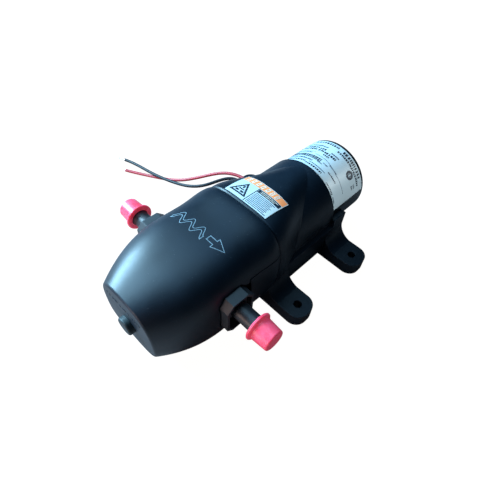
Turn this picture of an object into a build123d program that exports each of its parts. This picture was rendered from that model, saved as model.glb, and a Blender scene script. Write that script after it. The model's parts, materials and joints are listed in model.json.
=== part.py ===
from build123d import *
from math import cos, degrees, pi, radians, sin
import os

# Twelve-volt twin-chamber diaphragm bilge pump.
# Frame: Z = 0 is the underside of the feet, +X is the flow direction, the motor axis runs along Y
# with the nose at -Y, and the origin is the centre of the four foot holes. Millimetres.
# A "station" is a Y position. Stations grow towards the motor's rear.

# ---- driving dimensions -------------------------------------------------------------------------
SLIP = 0.05                     # radial clearance of a running or sliding fit
GAP = 0.1                       # clearance between parts that only sit next to each other
WALL = 2.2                      # wall of the moulded nose cover
SLEEVE_WALL = 2.5

MOTOR_R = 25.5                  # two-inch class permanent-magnet motor
MOTOR_Z = 28.35                 # height of the motor axis
MOTOR_FRONT = -10.0
MOTOR_REAR = 61.4
CAN_WALL = 1.8
CAN_INNER_R = MOTOR_R - CAN_WALL

FOOT_X = 46.9                   # half the spacing of the foot holes across the pump
FOOT_Y = 27.25                  # half the spacing of the foot holes along the pump
FOOT_HOLE_R = 2.5
FOOT_END = 55.2
FOOT_HALF = 8.9
FOOT_THICK = 8.9
FOOT_CORNER_R = 7.4
FOOT_TAB = 16.0
WEB_TOP = 21.5                  # curved web between each foot and its rail
WEB_TOE = 38.7
WEB_BEND = (32.4, 12.6)
WEB_INNER = 22.8

SLEEVE_REAR = 25.4
SEAM = -30.4                    # joint between the mounting sleeve and the nose cover
SEAM_GAP = 0.6
PARTING_Z = 44.4                # the cover stops here on the sides behind the ports
COLLAR_R = 27.1
RAIL_HALF = 29.5
RAIL_TOP = 23.5
RAIL_BOTTOM = 0.3
RAIL_CHAMFER = 5.0
EAR_TOP = 29.5                  # the rails end in ears that hug the motor behind the collar
EAR_INNER = 20.0
RAIL_SLOPE = 3.0
RAIL_SLOT_Z = (25.8, 29.6)      # slot in each flank above the rail
SLOT_DEPTH_X = 26.7
COLLAR_FRONT = -20.0
SLEEVE_BORE_R = 27.2            # ahead of the motor
TONGUE = 1.4                    # lip that the nose cover's rear edge slides over
TONGUE_REACH = 3.0
CHANNEL_X = 25.2                # channel for the leads beside the motor, on the inlet side
CHANNEL_END_X = 27.95
CHANNEL_Z = (25.0, 31.4)
LEAD_SLOT_REAR = 14.0
FAR = 80.0                      # beyond every part, for cutting blocks
SIDES = (-1, 1)

PORT_Y = -66.1
PORT_Z = 35.8
BOSS_Z = 33.3                   # the octagonal bosses reach further below the ports than above
BOSS_LENGTH = 18.0              # along Y
BOSS_HEIGHT = 24.2              # along Z
BOSS_CORNER = 4.0
BOSS_FACE = 37.0                # half the width over the two port bosses
BOSS_FLOOR = 31.4
BOSS_ROOT = 20.0
BOSS_RIM = 1.5
POCKET_LENGTH = BOSS_LENGTH - 2 * BOSS_RIM
POCKET_HEIGHT = BOSS_HEIGHT - 2 * BOSS_RIM
POCKET_CORNER = BOSS_CORNER - 0.6 * BOSS_RIM
CHEEK_FRONT = -53.6             # front edge of the sleeve's cheeks, behind the bosses
NOTCH_GAP = 0.8                 # clearance of the cover round each boss
NOTCH_STEP_Z = 42.9             # behind a boss the notch is a little lower

# The head's cross-section at the seam, at its widest and at the nose:
# half width, top, bottom, height of the widest point, and the roundness of top and bottom.
HEAD_SEAM = (30.83, 59.77, 3.0, 30.7, 3.35, 2.79)
HEAD_WIDEST = (32.62, 59.5, 1.28, 28.5, 3.1, 2.75)
HEAD_NOSE = (20.72, 50.37, 10.18, 24.7, 2.76, 2.67)
HEAD_CURVE = (2.15, 1.58, 2.36, 1.6, 1.0, 1.0)   # how late each of these changes towards the nose
WIDEST = -69.8
NOSE = -108.7
NOSE_EDGE_R = 1.7
SECTION_POINTS = 24

# The sleeve's upper fairing, from the seam back to where it sinks into the collar:
# station, half width, top, bottom, height of the widest point, roundness.
FAIRING = (
    (-29.5, 30.8, 59.75, 3.0, 30.7, 3.3),
    (-18.0, 29.2, 59.5, 3.4, 30.2, 3.0),
    (-5.0, 24.6, 58.5, 4.4, 29.6, 2.55),
    (8.0, 21.0, 57.1, 8.0, 29.0, 2.3),
    (23.0, 18.5, 55.3, 18.0, 28.6, 2.1),
)
SEAM_BEVEL = 0.8

# Stations of the pump stack, from the motor forward
PLATE_REAR = MOTOR_FRONT
PLATE_FRONT = -12.0
DRIVE_FLANGE_REAR = -34.0
DRIVE_FRONT = -40.0
CLAMP_FRONT = -44.0
DIAPHRAGM_FRONT = -46.0
VALVE_PLATE_FRONT = -54.0
MANIFOLD_REAR = -54.8
MANIFOLD_FRONT = -79.0
STACK_HALF = 26.5
STACK_LOW = 9.0
STACK_HIGH = 51.0
STACK_CORNER_R = 12.0
STACK_Z = (STACK_LOW + STACK_HIGH) / 2
BOLT_X = 20.0
BOLT_Z = 14.5
BOLT_R = 2.0
BOLT_HEAD_R = 3.4
BOLT_HEAD = 2.8
BOLT_END = -32.0
BOLT_PILLAR_R = 4.2
BOLT_CROSS = 0.4                # half the width of a cross recess

# Wobble drive
BARREL_R = 25.3                 # drive housing, inside the sleeve's bore
BARREL_NECK_R = 22.4            # and ahead of it, clear of the sleeve's cheeks
BARREL_BORE_R = 20.5
BARREL_SHAFT_R = 9.5
DRIVE_FLOOR = 3.0
TILT = 4.0                      # degrees between the shaft and the wobble bearing
PIVOT_Y = -26.0
PISTON_X = 12.5
CHAMBER_R = 11.0
CHAMBER_FLOOR = -50.0
LOBE_R = 9.0
PISTON_R = 6.5
POST_R = 4.0
POST_END = 18.6                 # from the pivot to the diaphragm's clamped face
WEB = 0.9
SHAFT_R = 3.0

HUB_REAR = -16.5                # eccentric hub
HUB_REAR_R = 5.4
JOURNAL_R = 6.0                 # wobble bearing, about the tilted axis
WOBBLE_INNER_R = 7.4
WOBBLE_OUTER_R = 9.6
WOBBLE_RING_R = 11.0
WOBBLE_HALF = 3.0               # half the bearing's length
WOBBLE_BALLS = 10
YOKE_R = 14.0
YOKE_LIP_R = 8.6
PISTON_PAD = 1.4
PISTON_SCREW_R = 1.2
PISTON_SCREW = 8.0
DISC = 1.3                      # piston disc in front of the diaphragm
DISC_BORE_R = 1.5
DISC_SCREW_R = 2.3
DISC_SCREW_HEAD = 0.5
BALL_R = 1.05

# Valves and galleries
VALVE_X = 12.0
VALVE_Z = 6.2
VALVE_R = 4.0
STEM_R = 0.85
STEM_LENGTH = 4.4
PORT_HOLE_R = 0.8
PORT_CIRCLE_R = 2.4
GALLERY_FRONT = MANIFOLD_FRONT + 5
GALLERY_X = 23.0
GALLERY_LOW = 12.5
GALLERY_HIGH = 47.5
GALLERY_WALL_LOW = 26.85        # the wall between the lower and the upper gallery
GALLERY_WALL_HIGH = 29.85
DUCT_X = 19.0                   # duct from the inlet port down to the lower gallery
DUCT_HIGH = 41.5
DUCT_WALL = 2.0

# Small screws
SCREW_R = 1.5
SCREW_HEAD_R = 2.75
SCREW_HEAD = 2.2
SLOT_HALF = 0.35

# Motor
DRIVE_SCREWS_Z = (MOTOR_Z - 15.5, MOTOR_Z + 15.5)
CORE_REAR = 46.0
CORE_FRONT = 12.0
CORE_R = 18.3
SLOTS = 8
SLOT_CIRCLE_R = 12.6
SLOT_DEEP = 8.4
SLOT_WIDE = 6.2
SLOT_CORNER = 1.6
SLOT_LINER = 0.6                # insulation between a slot and its bundle of wire
SLOT_MOUTH = 1.8
END_TURNS_R = 16.6
END_TURNS_BORE_R = 6.5
BUSH_R = 5.5
BUSH_FRONT = 53.0
BUSH_SEAT_R = 7.5
CAN_EDGE_R = 2.4
BEARING_R = 8.0                 # front bearing
BEARING_REAR = -7.0
BEARING_RACE_R = 6.6
BEARING_HUB_R = 4.4
BEARING_CIRCLE_R = 5.5
BEARING_BALLS = 8
HUB_R = 5.2                     # commutator
BARS_R = 8.0
BARS_HALF = 4.0
MAGNET_INNER_R = 18.9
MAGNET_FRONT = 8.0
MAGNET_REAR = 50.0
MAGNET_GAP = 6.0                # half the height of the space between the magnets
LEAD_WINDOW = 3.4               # half the height of the leads' opening in plate and card
LEAD_WINDOW_X = (-24.0, -19.0)
CARD_REAR = -5.0
CARD_FRONT = -6.8
CARD_BORE_R = 9.2
BRUSH_HALF = 2.5
BRUSH_Y = (-4.3, 0.7)
TUBE_WALL = 0.6
TUBE_NEAR = 9.2
TUBE_FAR = 21.0
BRUSH_FAR = 16.0
BRUSH_SPRING_R = 1.7
BRUSH_WIRE_R = 0.25
BRUSH_TURNS = 5

# Pressure switch, in line with the plug in the nose
SWITCH_Z = 26.5
SWITCH_FLANGE_FRONT = -84.0
SWITCH_NOSE = -104.6
SENSE_PORT_Z = 31.5             # drilling from the outlet gallery to the switch
SWITCH_HALF = 16.5
SWITCH_HEIGHT = 13.5
SWITCH_BARREL_R = 8.0
SWITCH_SENSE_R = 9.6            # sensing diaphragm
SWITCH_SENSE = 1.0
PLUNGER_BORE_R = 8.6
SPRING_BORE_R = 5.15
SPRING_BORE_FRONT = -98.0
SPRING_REAR = -81.5
SPRING_FRONT = -91.5
SPRING_R = 3.6
SPRING_WIRE_R = 0.5
SPRING_TURNS = 6
SEAT_THICK = 3.0
KEY_Z = (4.0, 6.2)              # key that keeps the spring seat from turning
ADJUSTER_HEAD_R = 3.4
ADJUSTER_HEAD_REAR = -102.1
SWITCH_BOLTS = ((12.5, SWITCH_Z + 9.5), (-12.5, SWITCH_Z - 9.5))
ARM_HALF = 2.0                  # half the height of the plunger's arm
ARM_END = 13.6
MICRO_X = 9.4
MICRO_REAR = -88.0
MICRO_THICK = 6.4
MICRO_LENGTH = 10.0
MICRO_HALF = 6.5
BUTTON_X = MICRO_X + 3.1
BUTTON_R = 1.0
BUTTON_OUT = 1.2
TAB = 3.5                       # terminals
TAB_WIDE = 2.4
TAB_THICK = 0.6
TAB_Z = 4.5
PLUG_R = 5.4                    # rubber plug in the nose
PLUG_NECK_R = 4.6
PLUG_OUT = 3.4

# Hose tails and caps, measured outwards from the centre plane
TAIL_ROOT = 22.0
TAIL_SHOULDER = 33.2
TAIL_NECK = 34.4
SEAL_GROOVE = (26.1, 27.9)
SEAL_GROOVE_R = 5.0
BARBS = 3
BARB_PITCH = 3.4
BARB_LAND = 0.4
BARB_LENGTH = 3.2
TAIL_BORE_R = 3.2
TAIL_SPIGOT_R = 5.95
TAIL_BASE_R = 6.9
TAIL_R = 4.85
BARB_R = 5.3
TAIL_END = 58.6
CAP_OPEN = 48.2
CAP_FLANGE = 1.8
CAP_FLANGE_R = 8.2
CAP_EDGE = 0.5
CAP_R = 6.75
CAP_END_R = 6.2
CAP_END = 60.3
CAP_CAVITY_R = BARB_R + SLIP
CAP_FACE = 1.2

CLIP_SLOT = 8.8                 # opening between the legs of a tail clip
CLIP_THICK = 1.5
CLIP_TOOTH = 1.7                # the legs end in small notches
CLIP_TOOTH_Y = 5.6

LEAD_R = 1.1
LEAD_TIP_R = 0.65
LEAD_START = (-26.72, -16.0)    # inside the sleeve, in the channel beside the motor
LEAD_TIP = 5.5
# height in the channel, then where each lead passes on its way to the ground
RED_LEAD = (29.7, ((-26.72, -1.0), (-32.0, 8.0, 29.3), (-48.0, 7.0, 28.0), (-63.5, -1.3, 21.0),
                   (-79.0, -11.5, 12.5), (-103.0, -20.0, 4.5), (-127.0, -30.7, 1.8)))
BLACK_LEAD = (26.9, ((-26.72, -3.0), (-31.5, 5.0, 26.4), (-44.0, 6.5, 26.2), (-56.4, -7.5, 21.0),
                     (-81.0, -17.2, 11.8), (-106.7, -20.8, 7.0), (-137.0, -24.3, 2.6)))
RED_END = (-1, -0.5, -0.02)
BLACK_END = (-1, -0.35, -0.04)
LABEL = 0.14                    # label thickness, glued with a hair's gap
LABEL_GLUE = 0.02
LABEL_FRONT = SLEEVE_REAR + 0.2
LABEL_REAR = MOTOR_REAR - 3.6
LABEL_EDGE_Z = MOTOR_Z + 5.2    # the label's lower edges, a little above the motor's middle
STICKER_HALF = 15.5
STICKER_FRONT = -28.7
STICKER_REAR = -9.6


# ---- helpers ------------------------------------------------------------------------------------
def station(y, x=0.0, z=0.0):
    """Cross-section plane: local x is +X, local y is +Z, and its normal points to the nose."""
    return Plane(origin=(x, y, z), x_dir=(1, 0, 0), z_dir=(0, -1, 0))


def sideways(x, y, z):
    """Plane facing +X at a port axis: local x is +Y, local y is +Z."""
    return Plane(origin=(x, y, z), x_dir=(0, 1, 0), z_dir=(1, 0, 0))


def rod(radius, y_from, y_to, x=0.0, z=MOTOR_Z, mode=Mode.ADD):
    """Cylinder along Y between two stations."""
    with Locations((x, (y_from + y_to) / 2, z)):
        Cylinder(radius, abs(y_to - y_from), rotation=(90, 0, 0), mode=mode)


def cross_rod(radius, x_from, x_to, y=PORT_Y, z=PORT_Z, mode=Mode.ADD):
    """Cylinder along X between two distances from the centre plane."""
    with Locations(((x_from + x_to) / 2, y, z)):
        Cylinder(radius, abs(x_to - x_from), rotation=(0, 90, 0), mode=mode)


def block(x_from, x_to, y_from, y_to, z_from, z_to, mode=Mode.ADD):
    """Rectangular block between two corners."""
    with Locations(((x_from + x_to) / 2, (y_from + y_to) / 2, (z_from + z_to) / 2)):
        Box(abs(x_to - x_from), abs(y_to - y_from), abs(z_to - z_from), mode=mode)


def save(piece, name):
    """Label a finished piece and write it under its own name."""
    piece.part.label = name
    export_step(piece.part, f"parts/{name}.step")


def blend(start, end, share):
    """Values part of the way from start to end."""
    return tuple(a + (b - a) * share for a, b in zip(start, end))


def section_outline(half_width, top, bottom, waist, top_power, bottom_power):
    """Points of a rounded box section whose two halves have their own height and roundness."""
    points = []
    for step in range(SECTION_POINTS):
        angle = 2 * pi * step / SECTION_POINTS
        across, up = cos(angle), sin(angle)
        power = top_power if up >= 0 else bottom_power
        height = top - waist if up >= 0 else waist - bottom
        reach = (abs(across) ** power + abs(up) ** power) ** (-1 / power)
        points.append((half_width * reach * across, waist + height * reach * up))
    return points


def head_section(y, inset):
    """Outline of the pump head's skin at a station, moved inwards by inset."""
    if y > WIDEST:
        share = (SEAM - y) / (SEAM - WIDEST)
        size = blend(HEAD_SEAM, HEAD_WIDEST, share * (2 - share))
    else:
        share = (WIDEST - y) / (WIDEST - NOSE)
        size = [a + (b - a) * share ** k for a, b, k in zip(HEAD_WIDEST, HEAD_NOSE, HEAD_CURVE)]
    half_width, top, bottom, waist, top_power, bottom_power = size
    return section_outline(
        half_width - inset, top - inset, bottom + inset, waist, top_power, bottom_power
    )


def head_solid(inset, front):
    """Solid bounded by the head's skin from the seam to the front station."""
    steps = [SEAM, (SEAM + WIDEST) / 2, WIDEST]
    steps += [WIDEST + (front - WIDEST) * share for share in (0.3, 0.55, 0.75, 0.9, 1.0)]
    with BuildPart() as head:
        for y in steps:
            with BuildSketch(station(y)):
                with BuildLine():
                    Spline(*head_section(y, inset), periodic=True)
                make_face()
        loft()
    return head.part


def fairing_solid(growth):
    """Solid under the sleeve's fairing, grown outwards by growth."""
    with BuildPart() as fairing:
        for y, half_width, top, bottom, waist, power in FAIRING:
            with BuildSketch(station(y)):
                with BuildLine():
                    outline = section_outline(
                        half_width + growth, top + growth, bottom - growth, waist, power, power
                    )
                    Spline(*outline, periodic=True)
                make_face()
        loft()
    return fairing.part


def seam_bevel_solid():
    """Short bevelled lip at the front edge of the sleeve."""
    with BuildPart() as lip:
        for y, inset in ((SEAM, SEAM_BEVEL), (FAIRING[0][0], 0.0)):
            _, half_width, top, bottom, waist, power = FAIRING[0]
            with BuildSketch(station(y)):
                with BuildLine():
                    outline = section_outline(
                        half_width - inset, top - inset, bottom + inset, waist, power, power
                    )
                    Spline(*outline, periodic=True)
                make_face()
        loft(ruled=True)
    return lip.part


def stack_plate(y_rear, y_front):
    """Rounded plate outline that the clamped pump stack shares, between two stations."""
    with BuildSketch(station(y_rear, z=STACK_Z)) as outline:
        RectangleRounded(2 * STACK_HALF, STACK_HIGH - STACK_LOW, STACK_CORNER_R)
    extrude(outline.sketch, amount=y_rear - y_front)


def bolt_holes(y_from, y_to):
    """Clearance holes of the four long pump screws."""
    for x in (-BOLT_X, BOLT_X):
        for z in (STACK_Z - BOLT_Z, STACK_Z + BOLT_Z):
            rod(BOLT_R + SLIP, y_from, y_to, x, z, mode=Mode.SUBTRACT)


def coil(radius, wire_r, length, turns, start, heading):
    """Helical spring from a start point along a heading."""
    with BuildPart() as spring:
        with BuildLine() as path:
            Helix(pitch=length / turns, height=length, radius=radius, center=start,
                  direction=heading)
        with BuildSketch(Plane(origin=path.line @ 0, z_dir=path.line % 0)):
            Circle(wire_r)
        sweep(path=path.line, is_frenet=True)
    return spring.part


os.makedirs("parts", exist_ok=True)
wobble = Plane(origin=(0, PIVOT_Y, MOTOR_Z), x_dir=(cos(radians(TILT)), sin(radians(TILT)), 0),
               z_dir=(sin(radians(TILT)), -cos(radians(TILT)), 0))


# ---- housings -----------------------------------------------------------------------------------
def foot_profile(side):
    """Cross-section of a foot's web, from the rail down to the tab."""
    inner = side * (STACK_HALF + 1.0)
    toe = side * WEB_TOE
    with BuildLine() as edge:
        Line((inner, FOOT_THICK / 2), (inner, WEB_TOP))
        Line((inner, WEB_TOP), (side * RAIL_HALF, WEB_TOP))
        bend = (side * WEB_BEND[0], WEB_BEND[1])
        ThreePointArc((side * RAIL_HALF, WEB_TOP), bend, (toe, FOOT_THICK))
        Line((toe, FOOT_THICK), (toe, FOOT_THICK / 2))
        Line((toe, FOOT_THICK / 2), (inner, FOOT_THICK / 2))
    return edge.line


def make_mounting_sleeve():
    """Black moulding that grips the motor, carries the four feet and closes the head's sides."""
    fairing = fairing_solid(0.0)
    lip = seam_bevel_solid()
    skin = head_solid(0.0, NOSE)
    core = head_solid(SLEEVE_WALL, NOSE + SLEEVE_WALL)
    tongue = head_solid(WALL + GAP, NOSE + SLEEVE_WALL)
    tongue_core = head_solid(WALL + TONGUE, NOSE + 2 * SLEEVE_WALL)
    with BuildPart() as cheeks:
        add(skin)
        add(core, mode=Mode.SUBTRACT)
        block(-FAR, FAR, CHEEK_FRONT, SEAM, -FAR, PARTING_Z - SEAM_GAP / 2, mode=Mode.INTERSECT)
    with BuildPart() as rim:
        add(tongue)
        add(tongue_core, mode=Mode.SUBTRACT)
        block(-FAR, FAR, SEAM - TONGUE_REACH, SEAM, PARTING_Z - TONGUE_REACH, FAR, mode=Mode.INTERSECT)
    with BuildPart() as sleeve:
        add(fairing)
        add(lip)
        rod(COLLAR_R, COLLAR_FRONT, SLEEVE_REAR)
        with BuildSketch(station(SLEEVE_REAR)) as rails:
            half, low = RAIL_HALF, RAIL_BOTTOM
            Polygon(
                (-half, low + RAIL_CHAMFER), (-half + RAIL_CHAMFER, low), (half - RAIL_CHAMFER, low),
                (half, low + RAIL_CHAMFER), (half, RAIL_TOP), (half - RAIL_SLOPE, RAIL_TOP + 2),
                (-half + RAIL_SLOPE, RAIL_TOP + 2), (-half, RAIL_TOP), align=None,
            )
        extrude(rails.sketch, amount=SLEEVE_REAR - SEAM)
        for side in SIDES:
            block(side * EAR_INNER, side * RAIL_HALF, SLEEVE_REAR - 1, FOOT_Y + FOOT_HALF,
                  RAIL_BOTTOM, EAR_TOP)
        rod(SLEEVE_BORE_R, PLATE_FRONT, SEAM - 1, mode=Mode.SUBTRACT)
        add(cheeks.part)
        add(rim.part)
        for side in SIDES:
            for y in (-FOOT_Y, FOOT_Y):
                with BuildSketch(station(y + FOOT_HALF)) as web:
                    make_face(foot_profile(side))
                extrude(web.sketch, amount=2 * FOOT_HALF)
                with BuildSketch() as tab:
                    with Locations((side * (FOOT_END - FOOT_TAB / 2), y)):
                        RectangleRounded(FOOT_TAB, 2 * FOOT_HALF, FOOT_CORNER_R)
                    with Locations((side * (WEB_INNER + FOOT_END - FOOT_TAB / 2) / 2, y)):
                        Rectangle(FOOT_END - FOOT_TAB / 2 - WEB_INNER, 2 * FOOT_HALF)
                extrude(tab.sketch, amount=FOOT_THICK)
        rod(MOTOR_R + SLIP, PLATE_FRONT - 1, FOOT_Y + FOOT_HALF + 1, mode=Mode.SUBTRACT)
        for side in SIDES:
            block(side * SLOT_DEPTH_X, side * FAR, -2, LEAD_SLOT_REAR, *RAIL_SLOT_Z, mode=Mode.SUBTRACT)
            for y in (-FOOT_Y, FOOT_Y):
                with Locations((side * FOOT_X, y, FOOT_THICK / 2)):
                    Cylinder(FOOT_HOLE_R, 2 * FOOT_THICK, mode=Mode.SUBTRACT)
        block(-FAR, -CHANNEL_X, -4, LEAD_SLOT_REAR, *CHANNEL_Z, mode=Mode.SUBTRACT)
        block(-CHANNEL_END_X, -CHANNEL_X, PLATE_FRONT - 6, 0, *CHANNEL_Z, mode=Mode.SUBTRACT)
    save(sleeve, "mounting_sleeve")


def make_nose_cover():
    """Streamlined front cover with a notch round each port boss and a plug hole in its face."""
    skin = head_solid(0.0, NOSE)
    core = head_solid(WALL, NOSE + WALL)
    with BuildPart() as cover:
        add(skin)
        fillet(cover.faces().sort_by(Axis.Y)[0].edges(), radius=NOSE_EDGE_R)
        add(core, mode=Mode.SUBTRACT)
        block(-FAR, FAR, SEAM - SEAM_GAP, SEAM + 1, -FAR, FAR, mode=Mode.SUBTRACT)
        block(-FAR, FAR, CHEEK_FRONT - SEAM_GAP, SEAM + 1, -FAR, PARTING_Z + SEAM_GAP / 2,
              mode=Mode.SUBTRACT)
        for side in SIDES:
            with BuildSketch(sideways(side * STACK_LOW, PORT_Y, BOSS_Z)) as notch:
                Rectangle(BOSS_LENGTH + 2 * NOTCH_GAP, BOSS_HEIGHT + 2 * NOTCH_GAP)
                chamfer(notch.vertices(), length=BOSS_CORNER)
            extrude(notch.sketch, amount=side * FAR, mode=Mode.SUBTRACT)
            block(side * STACK_LOW, side * FAR, PORT_Y, CHEEK_FRONT,
                  BOSS_Z - BOSS_HEIGHT / 2 - NOTCH_GAP, NOTCH_STEP_Z, mode=Mode.SUBTRACT)
        rod(PLUG_NECK_R, NOSE - 1, NOSE + 2 * WALL, z=SWITCH_Z, mode=Mode.SUBTRACT)
    save(cover, "nose_cover")


def make_adjuster_plug():
    """Rubber plug that closes the hole in front of the pressure adjusting screw."""
    with BuildPart() as plug:
        rod(PLUG_R, NOSE - PLUG_OUT, NOSE, z=SWITCH_Z)
        fillet(plug.edges().sort_by(Axis.Y)[0], radius=PLUG_OUT / 3)
        rod(PLUG_NECK_R - SLIP, NOSE, NOSE + WALL, z=SWITCH_Z)
        rod(PLUG_NECK_R - WALL, NOSE + GAP, NOSE + 2 * WALL, z=SWITCH_Z, mode=Mode.SUBTRACT)
    save(plug, "adjuster_plug")


# ---- ported manifold ----------------------------------------------------------------------------
def make_manifold():
    """Ported housing: a lower inlet gallery, an upper outlet gallery and two octagonal bosses."""
    with BuildPart() as manifold:
        stack_plate(MANIFOLD_REAR, MANIFOLD_FRONT)
        for side in SIDES:
            with BuildSketch(sideways(side * BOSS_ROOT, PORT_Y, BOSS_Z)) as boss:
                Rectangle(BOSS_LENGTH, BOSS_HEIGHT)
                chamfer(boss.vertices(), length=BOSS_CORNER)
            extrude(boss.sketch, amount=side * (BOSS_FACE - BOSS_ROOT))
            with BuildSketch(sideways(side * BOSS_FLOOR, PORT_Y, BOSS_Z)) as recess:
                Rectangle(POCKET_LENGTH, POCKET_HEIGHT)
                chamfer(recess.vertices(), length=POCKET_CORNER)
            extrude(recess.sketch, amount=side * BOSS_FACE, mode=Mode.SUBTRACT)
        block(-GALLERY_X, GALLERY_X, GALLERY_FRONT, MANIFOLD_REAR, GALLERY_LOW, GALLERY_WALL_LOW,
              mode=Mode.SUBTRACT)
        block(-GALLERY_X, -DUCT_X, GALLERY_FRONT, MANIFOLD_REAR, GALLERY_LOW, DUCT_HIGH,
              mode=Mode.SUBTRACT)
        block(-DUCT_X + DUCT_WALL, GALLERY_X, GALLERY_FRONT, MANIFOLD_REAR, GALLERY_WALL_HIGH,
              GALLERY_HIGH, mode=Mode.SUBTRACT)
        for x in (-BOLT_X, BOLT_X):
            for z in (STACK_Z - BOLT_Z, STACK_Z + BOLT_Z):
                rod(BOLT_PILLAR_R, MANIFOLD_REAR, MANIFOLD_FRONT, x, z)
        bolt_holes(MANIFOLD_REAR + 1, MANIFOLD_FRONT - 1)
        for side in SIDES:
            cross_rod(TAIL_SPIGOT_R + SLIP, side * (TAIL_ROOT - 0.6), side * BOSS_FACE,
                      mode=Mode.SUBTRACT)
        rod(SCREW_R, GALLERY_FRONT + 1, MANIFOLD_FRONT - 1, z=SENSE_PORT_Z, mode=Mode.SUBTRACT)
        for x, z in SWITCH_BOLTS:
            rod(SCREW_R + SLIP, MANIFOLD_FRONT - 1, MANIFOLD_FRONT + 4, x, z, mode=Mode.SUBTRACT)
    save(manifold, "manifold")


def make_manifold_gasket():
    """Flat rubber gasket round the two galleries."""
    with BuildPart() as gasket:
        stack_plate(VALVE_PLATE_FRONT, MANIFOLD_REAR)
        edge = 0.5
        block(-GALLERY_X + edge, GALLERY_X - edge, MANIFOLD_REAR - 1, VALVE_PLATE_FRONT + 1,
              GALLERY_LOW + edge, GALLERY_WALL_LOW - edge, mode=Mode.SUBTRACT)
        block(-DUCT_X + DUCT_WALL + edge, GALLERY_X - edge, MANIFOLD_REAR - 1, VALVE_PLATE_FRONT + 1,
              GALLERY_WALL_HIGH + edge, GALLERY_HIGH - edge, mode=Mode.SUBTRACT)
        for x in (-BOLT_X, BOLT_X):
            for z in (STACK_Z - BOLT_Z, STACK_Z + BOLT_Z):
                rod(BOLT_PILLAR_R - edge, VALVE_PLATE_FRONT, MANIFOLD_REAR, x, z)
        bolt_holes(VALVE_PLATE_FRONT + 1, MANIFOLD_REAR - 1)
    save(gasket, "manifold_gasket")


def make_valve_plate():
    """Plate with two pump chambers on its rear side and four ported valve seats."""
    with BuildPart() as plate:
        stack_plate(DIAPHRAGM_FRONT, VALVE_PLATE_FRONT)
        for x in (-PISTON_X, PISTON_X):
            rod(CHAMBER_R, DIAPHRAGM_FRONT + 1, CHAMBER_FLOOR, x, mode=Mode.SUBTRACT)
        for x in (-VALVE_X, VALVE_X):
            for z in (MOTOR_Z - VALVE_Z, MOTOR_Z + VALVE_Z):
                rod(STEM_R + SLIP, CHAMBER_FLOOR + 1, VALVE_PLATE_FRONT - 1, x, z, mode=Mode.SUBTRACT)
                for turn in range(4):
                    angle = radians(45 + 90 * turn)
                    rod(PORT_HOLE_R, CHAMBER_FLOOR + 1, VALVE_PLATE_FRONT - 1,
                        x + PORT_CIRCLE_R * cos(angle), z + PORT_CIRCLE_R * sin(angle),
                        mode=Mode.SUBTRACT)
        bolt_holes(DIAPHRAGM_FRONT + 1, VALVE_PLATE_FRONT - 1)
    save(plate, "valve_plate")


def make_valves(name, z, face, direction):
    """Pair of rubber umbrella valves: a lip over the ports, a stem and a retaining bead."""
    with BuildPart() as valves:
        for x in (-VALVE_X, VALVE_X):
            rod(VALVE_R, face + 0.02 * direction, face + 0.7 * direction, x, z)
            rod(VALVE_R / 2, face + 0.7 * direction, face + direction, x, z)
            rod(STEM_R, face + 0.1 * direction, face - STEM_LENGTH * direction, x, z)
            rod(STEM_R + 0.55, face - (STEM_LENGTH - 0.35) * direction,
                face - (STEM_LENGTH + 0.6) * direction, x, z)
    save(valves, name)


def make_pump_screws():
    """Four long screws that clamp the stack, with pan heads and cross recesses."""
    with BuildPart() as screws:
        for x in (-BOLT_X, BOLT_X):
            for z in (STACK_Z - BOLT_Z, STACK_Z + BOLT_Z):
                rod(BOLT_HEAD_R, MANIFOLD_FRONT, MANIFOLD_FRONT - BOLT_HEAD, x, z)
                rod(BOLT_R, MANIFOLD_FRONT, BOLT_END - 0.5, x, z)
                top = MANIFOLD_FRONT - BOLT_HEAD
                for across, up in ((BOLT_R, BOLT_CROSS), (BOLT_CROSS, BOLT_R)):
                    block(x - across, x + across, top - 1, top + BOLT_HEAD / 2, z - up, z + up,
                          mode=Mode.SUBTRACT)
    save(screws, "pump_screws")


# ---- diaphragm and wobble drive -----------------------------------------------------------------
def make_diaphragm():
    """Rubber sheet with a bead round each lobe; the lobes rest at the two ends of their stroke."""
    with BuildPart() as lobes:
        with BuildSketch(wobble.offset(POST_END)) as web:
            RectangleRounded(60, 30, 4)
            with Locations((-PISTON_X, 0), (PISTON_X, 0)):
                Circle(1.6, mode=Mode.SUBTRACT)
        extrude(web.sketch, amount=WEB)
        with BuildSketch(station(CLAMP_FRONT + 4, z=MOTOR_Z)) as openings:
            with Locations((-PISTON_X, 0), (PISTON_X, 0)):
                Circle(LOBE_R + 0.1)
        extrude(openings.sketch, amount=10, mode=Mode.INTERSECT)
    with BuildPart() as sheet:
        stack_plate(CLAMP_FRONT, DIAPHRAGM_FRONT)
        for x in (-PISTON_X, PISTON_X):
            rod(LOBE_R + 1.4, CLAMP_FRONT + 1.0, DIAPHRAGM_FRONT - 0.6, x)
            rod(LOBE_R, CLAMP_FRONT + 3, DIAPHRAGM_FRONT - 3, x, mode=Mode.SUBTRACT)
        add(lobes.part)
        bolt_holes(CLAMP_FRONT + 1, DIAPHRAGM_FRONT - 1)
    save(sheet, "diaphragm")


def make_diaphragm_plate():
    """Clamp plate behind the diaphragm, with a bead groove round each piston opening."""
    with BuildPart() as plate:
        stack_plate(DRIVE_FRONT, CLAMP_FRONT)
        for x in (-PISTON_X, PISTON_X):
            rod(LOBE_R + 0.2, DRIVE_FRONT + 1, CLAMP_FRONT - 1, x, mode=Mode.SUBTRACT)
            rod(LOBE_R + 1.5, CLAMP_FRONT + 1.1, CLAMP_FRONT - 1, x, mode=Mode.SUBTRACT)
        bolt_holes(DRIVE_FRONT + 1, CLAMP_FRONT - 1)
    save(plate, "diaphragm_plate")


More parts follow.
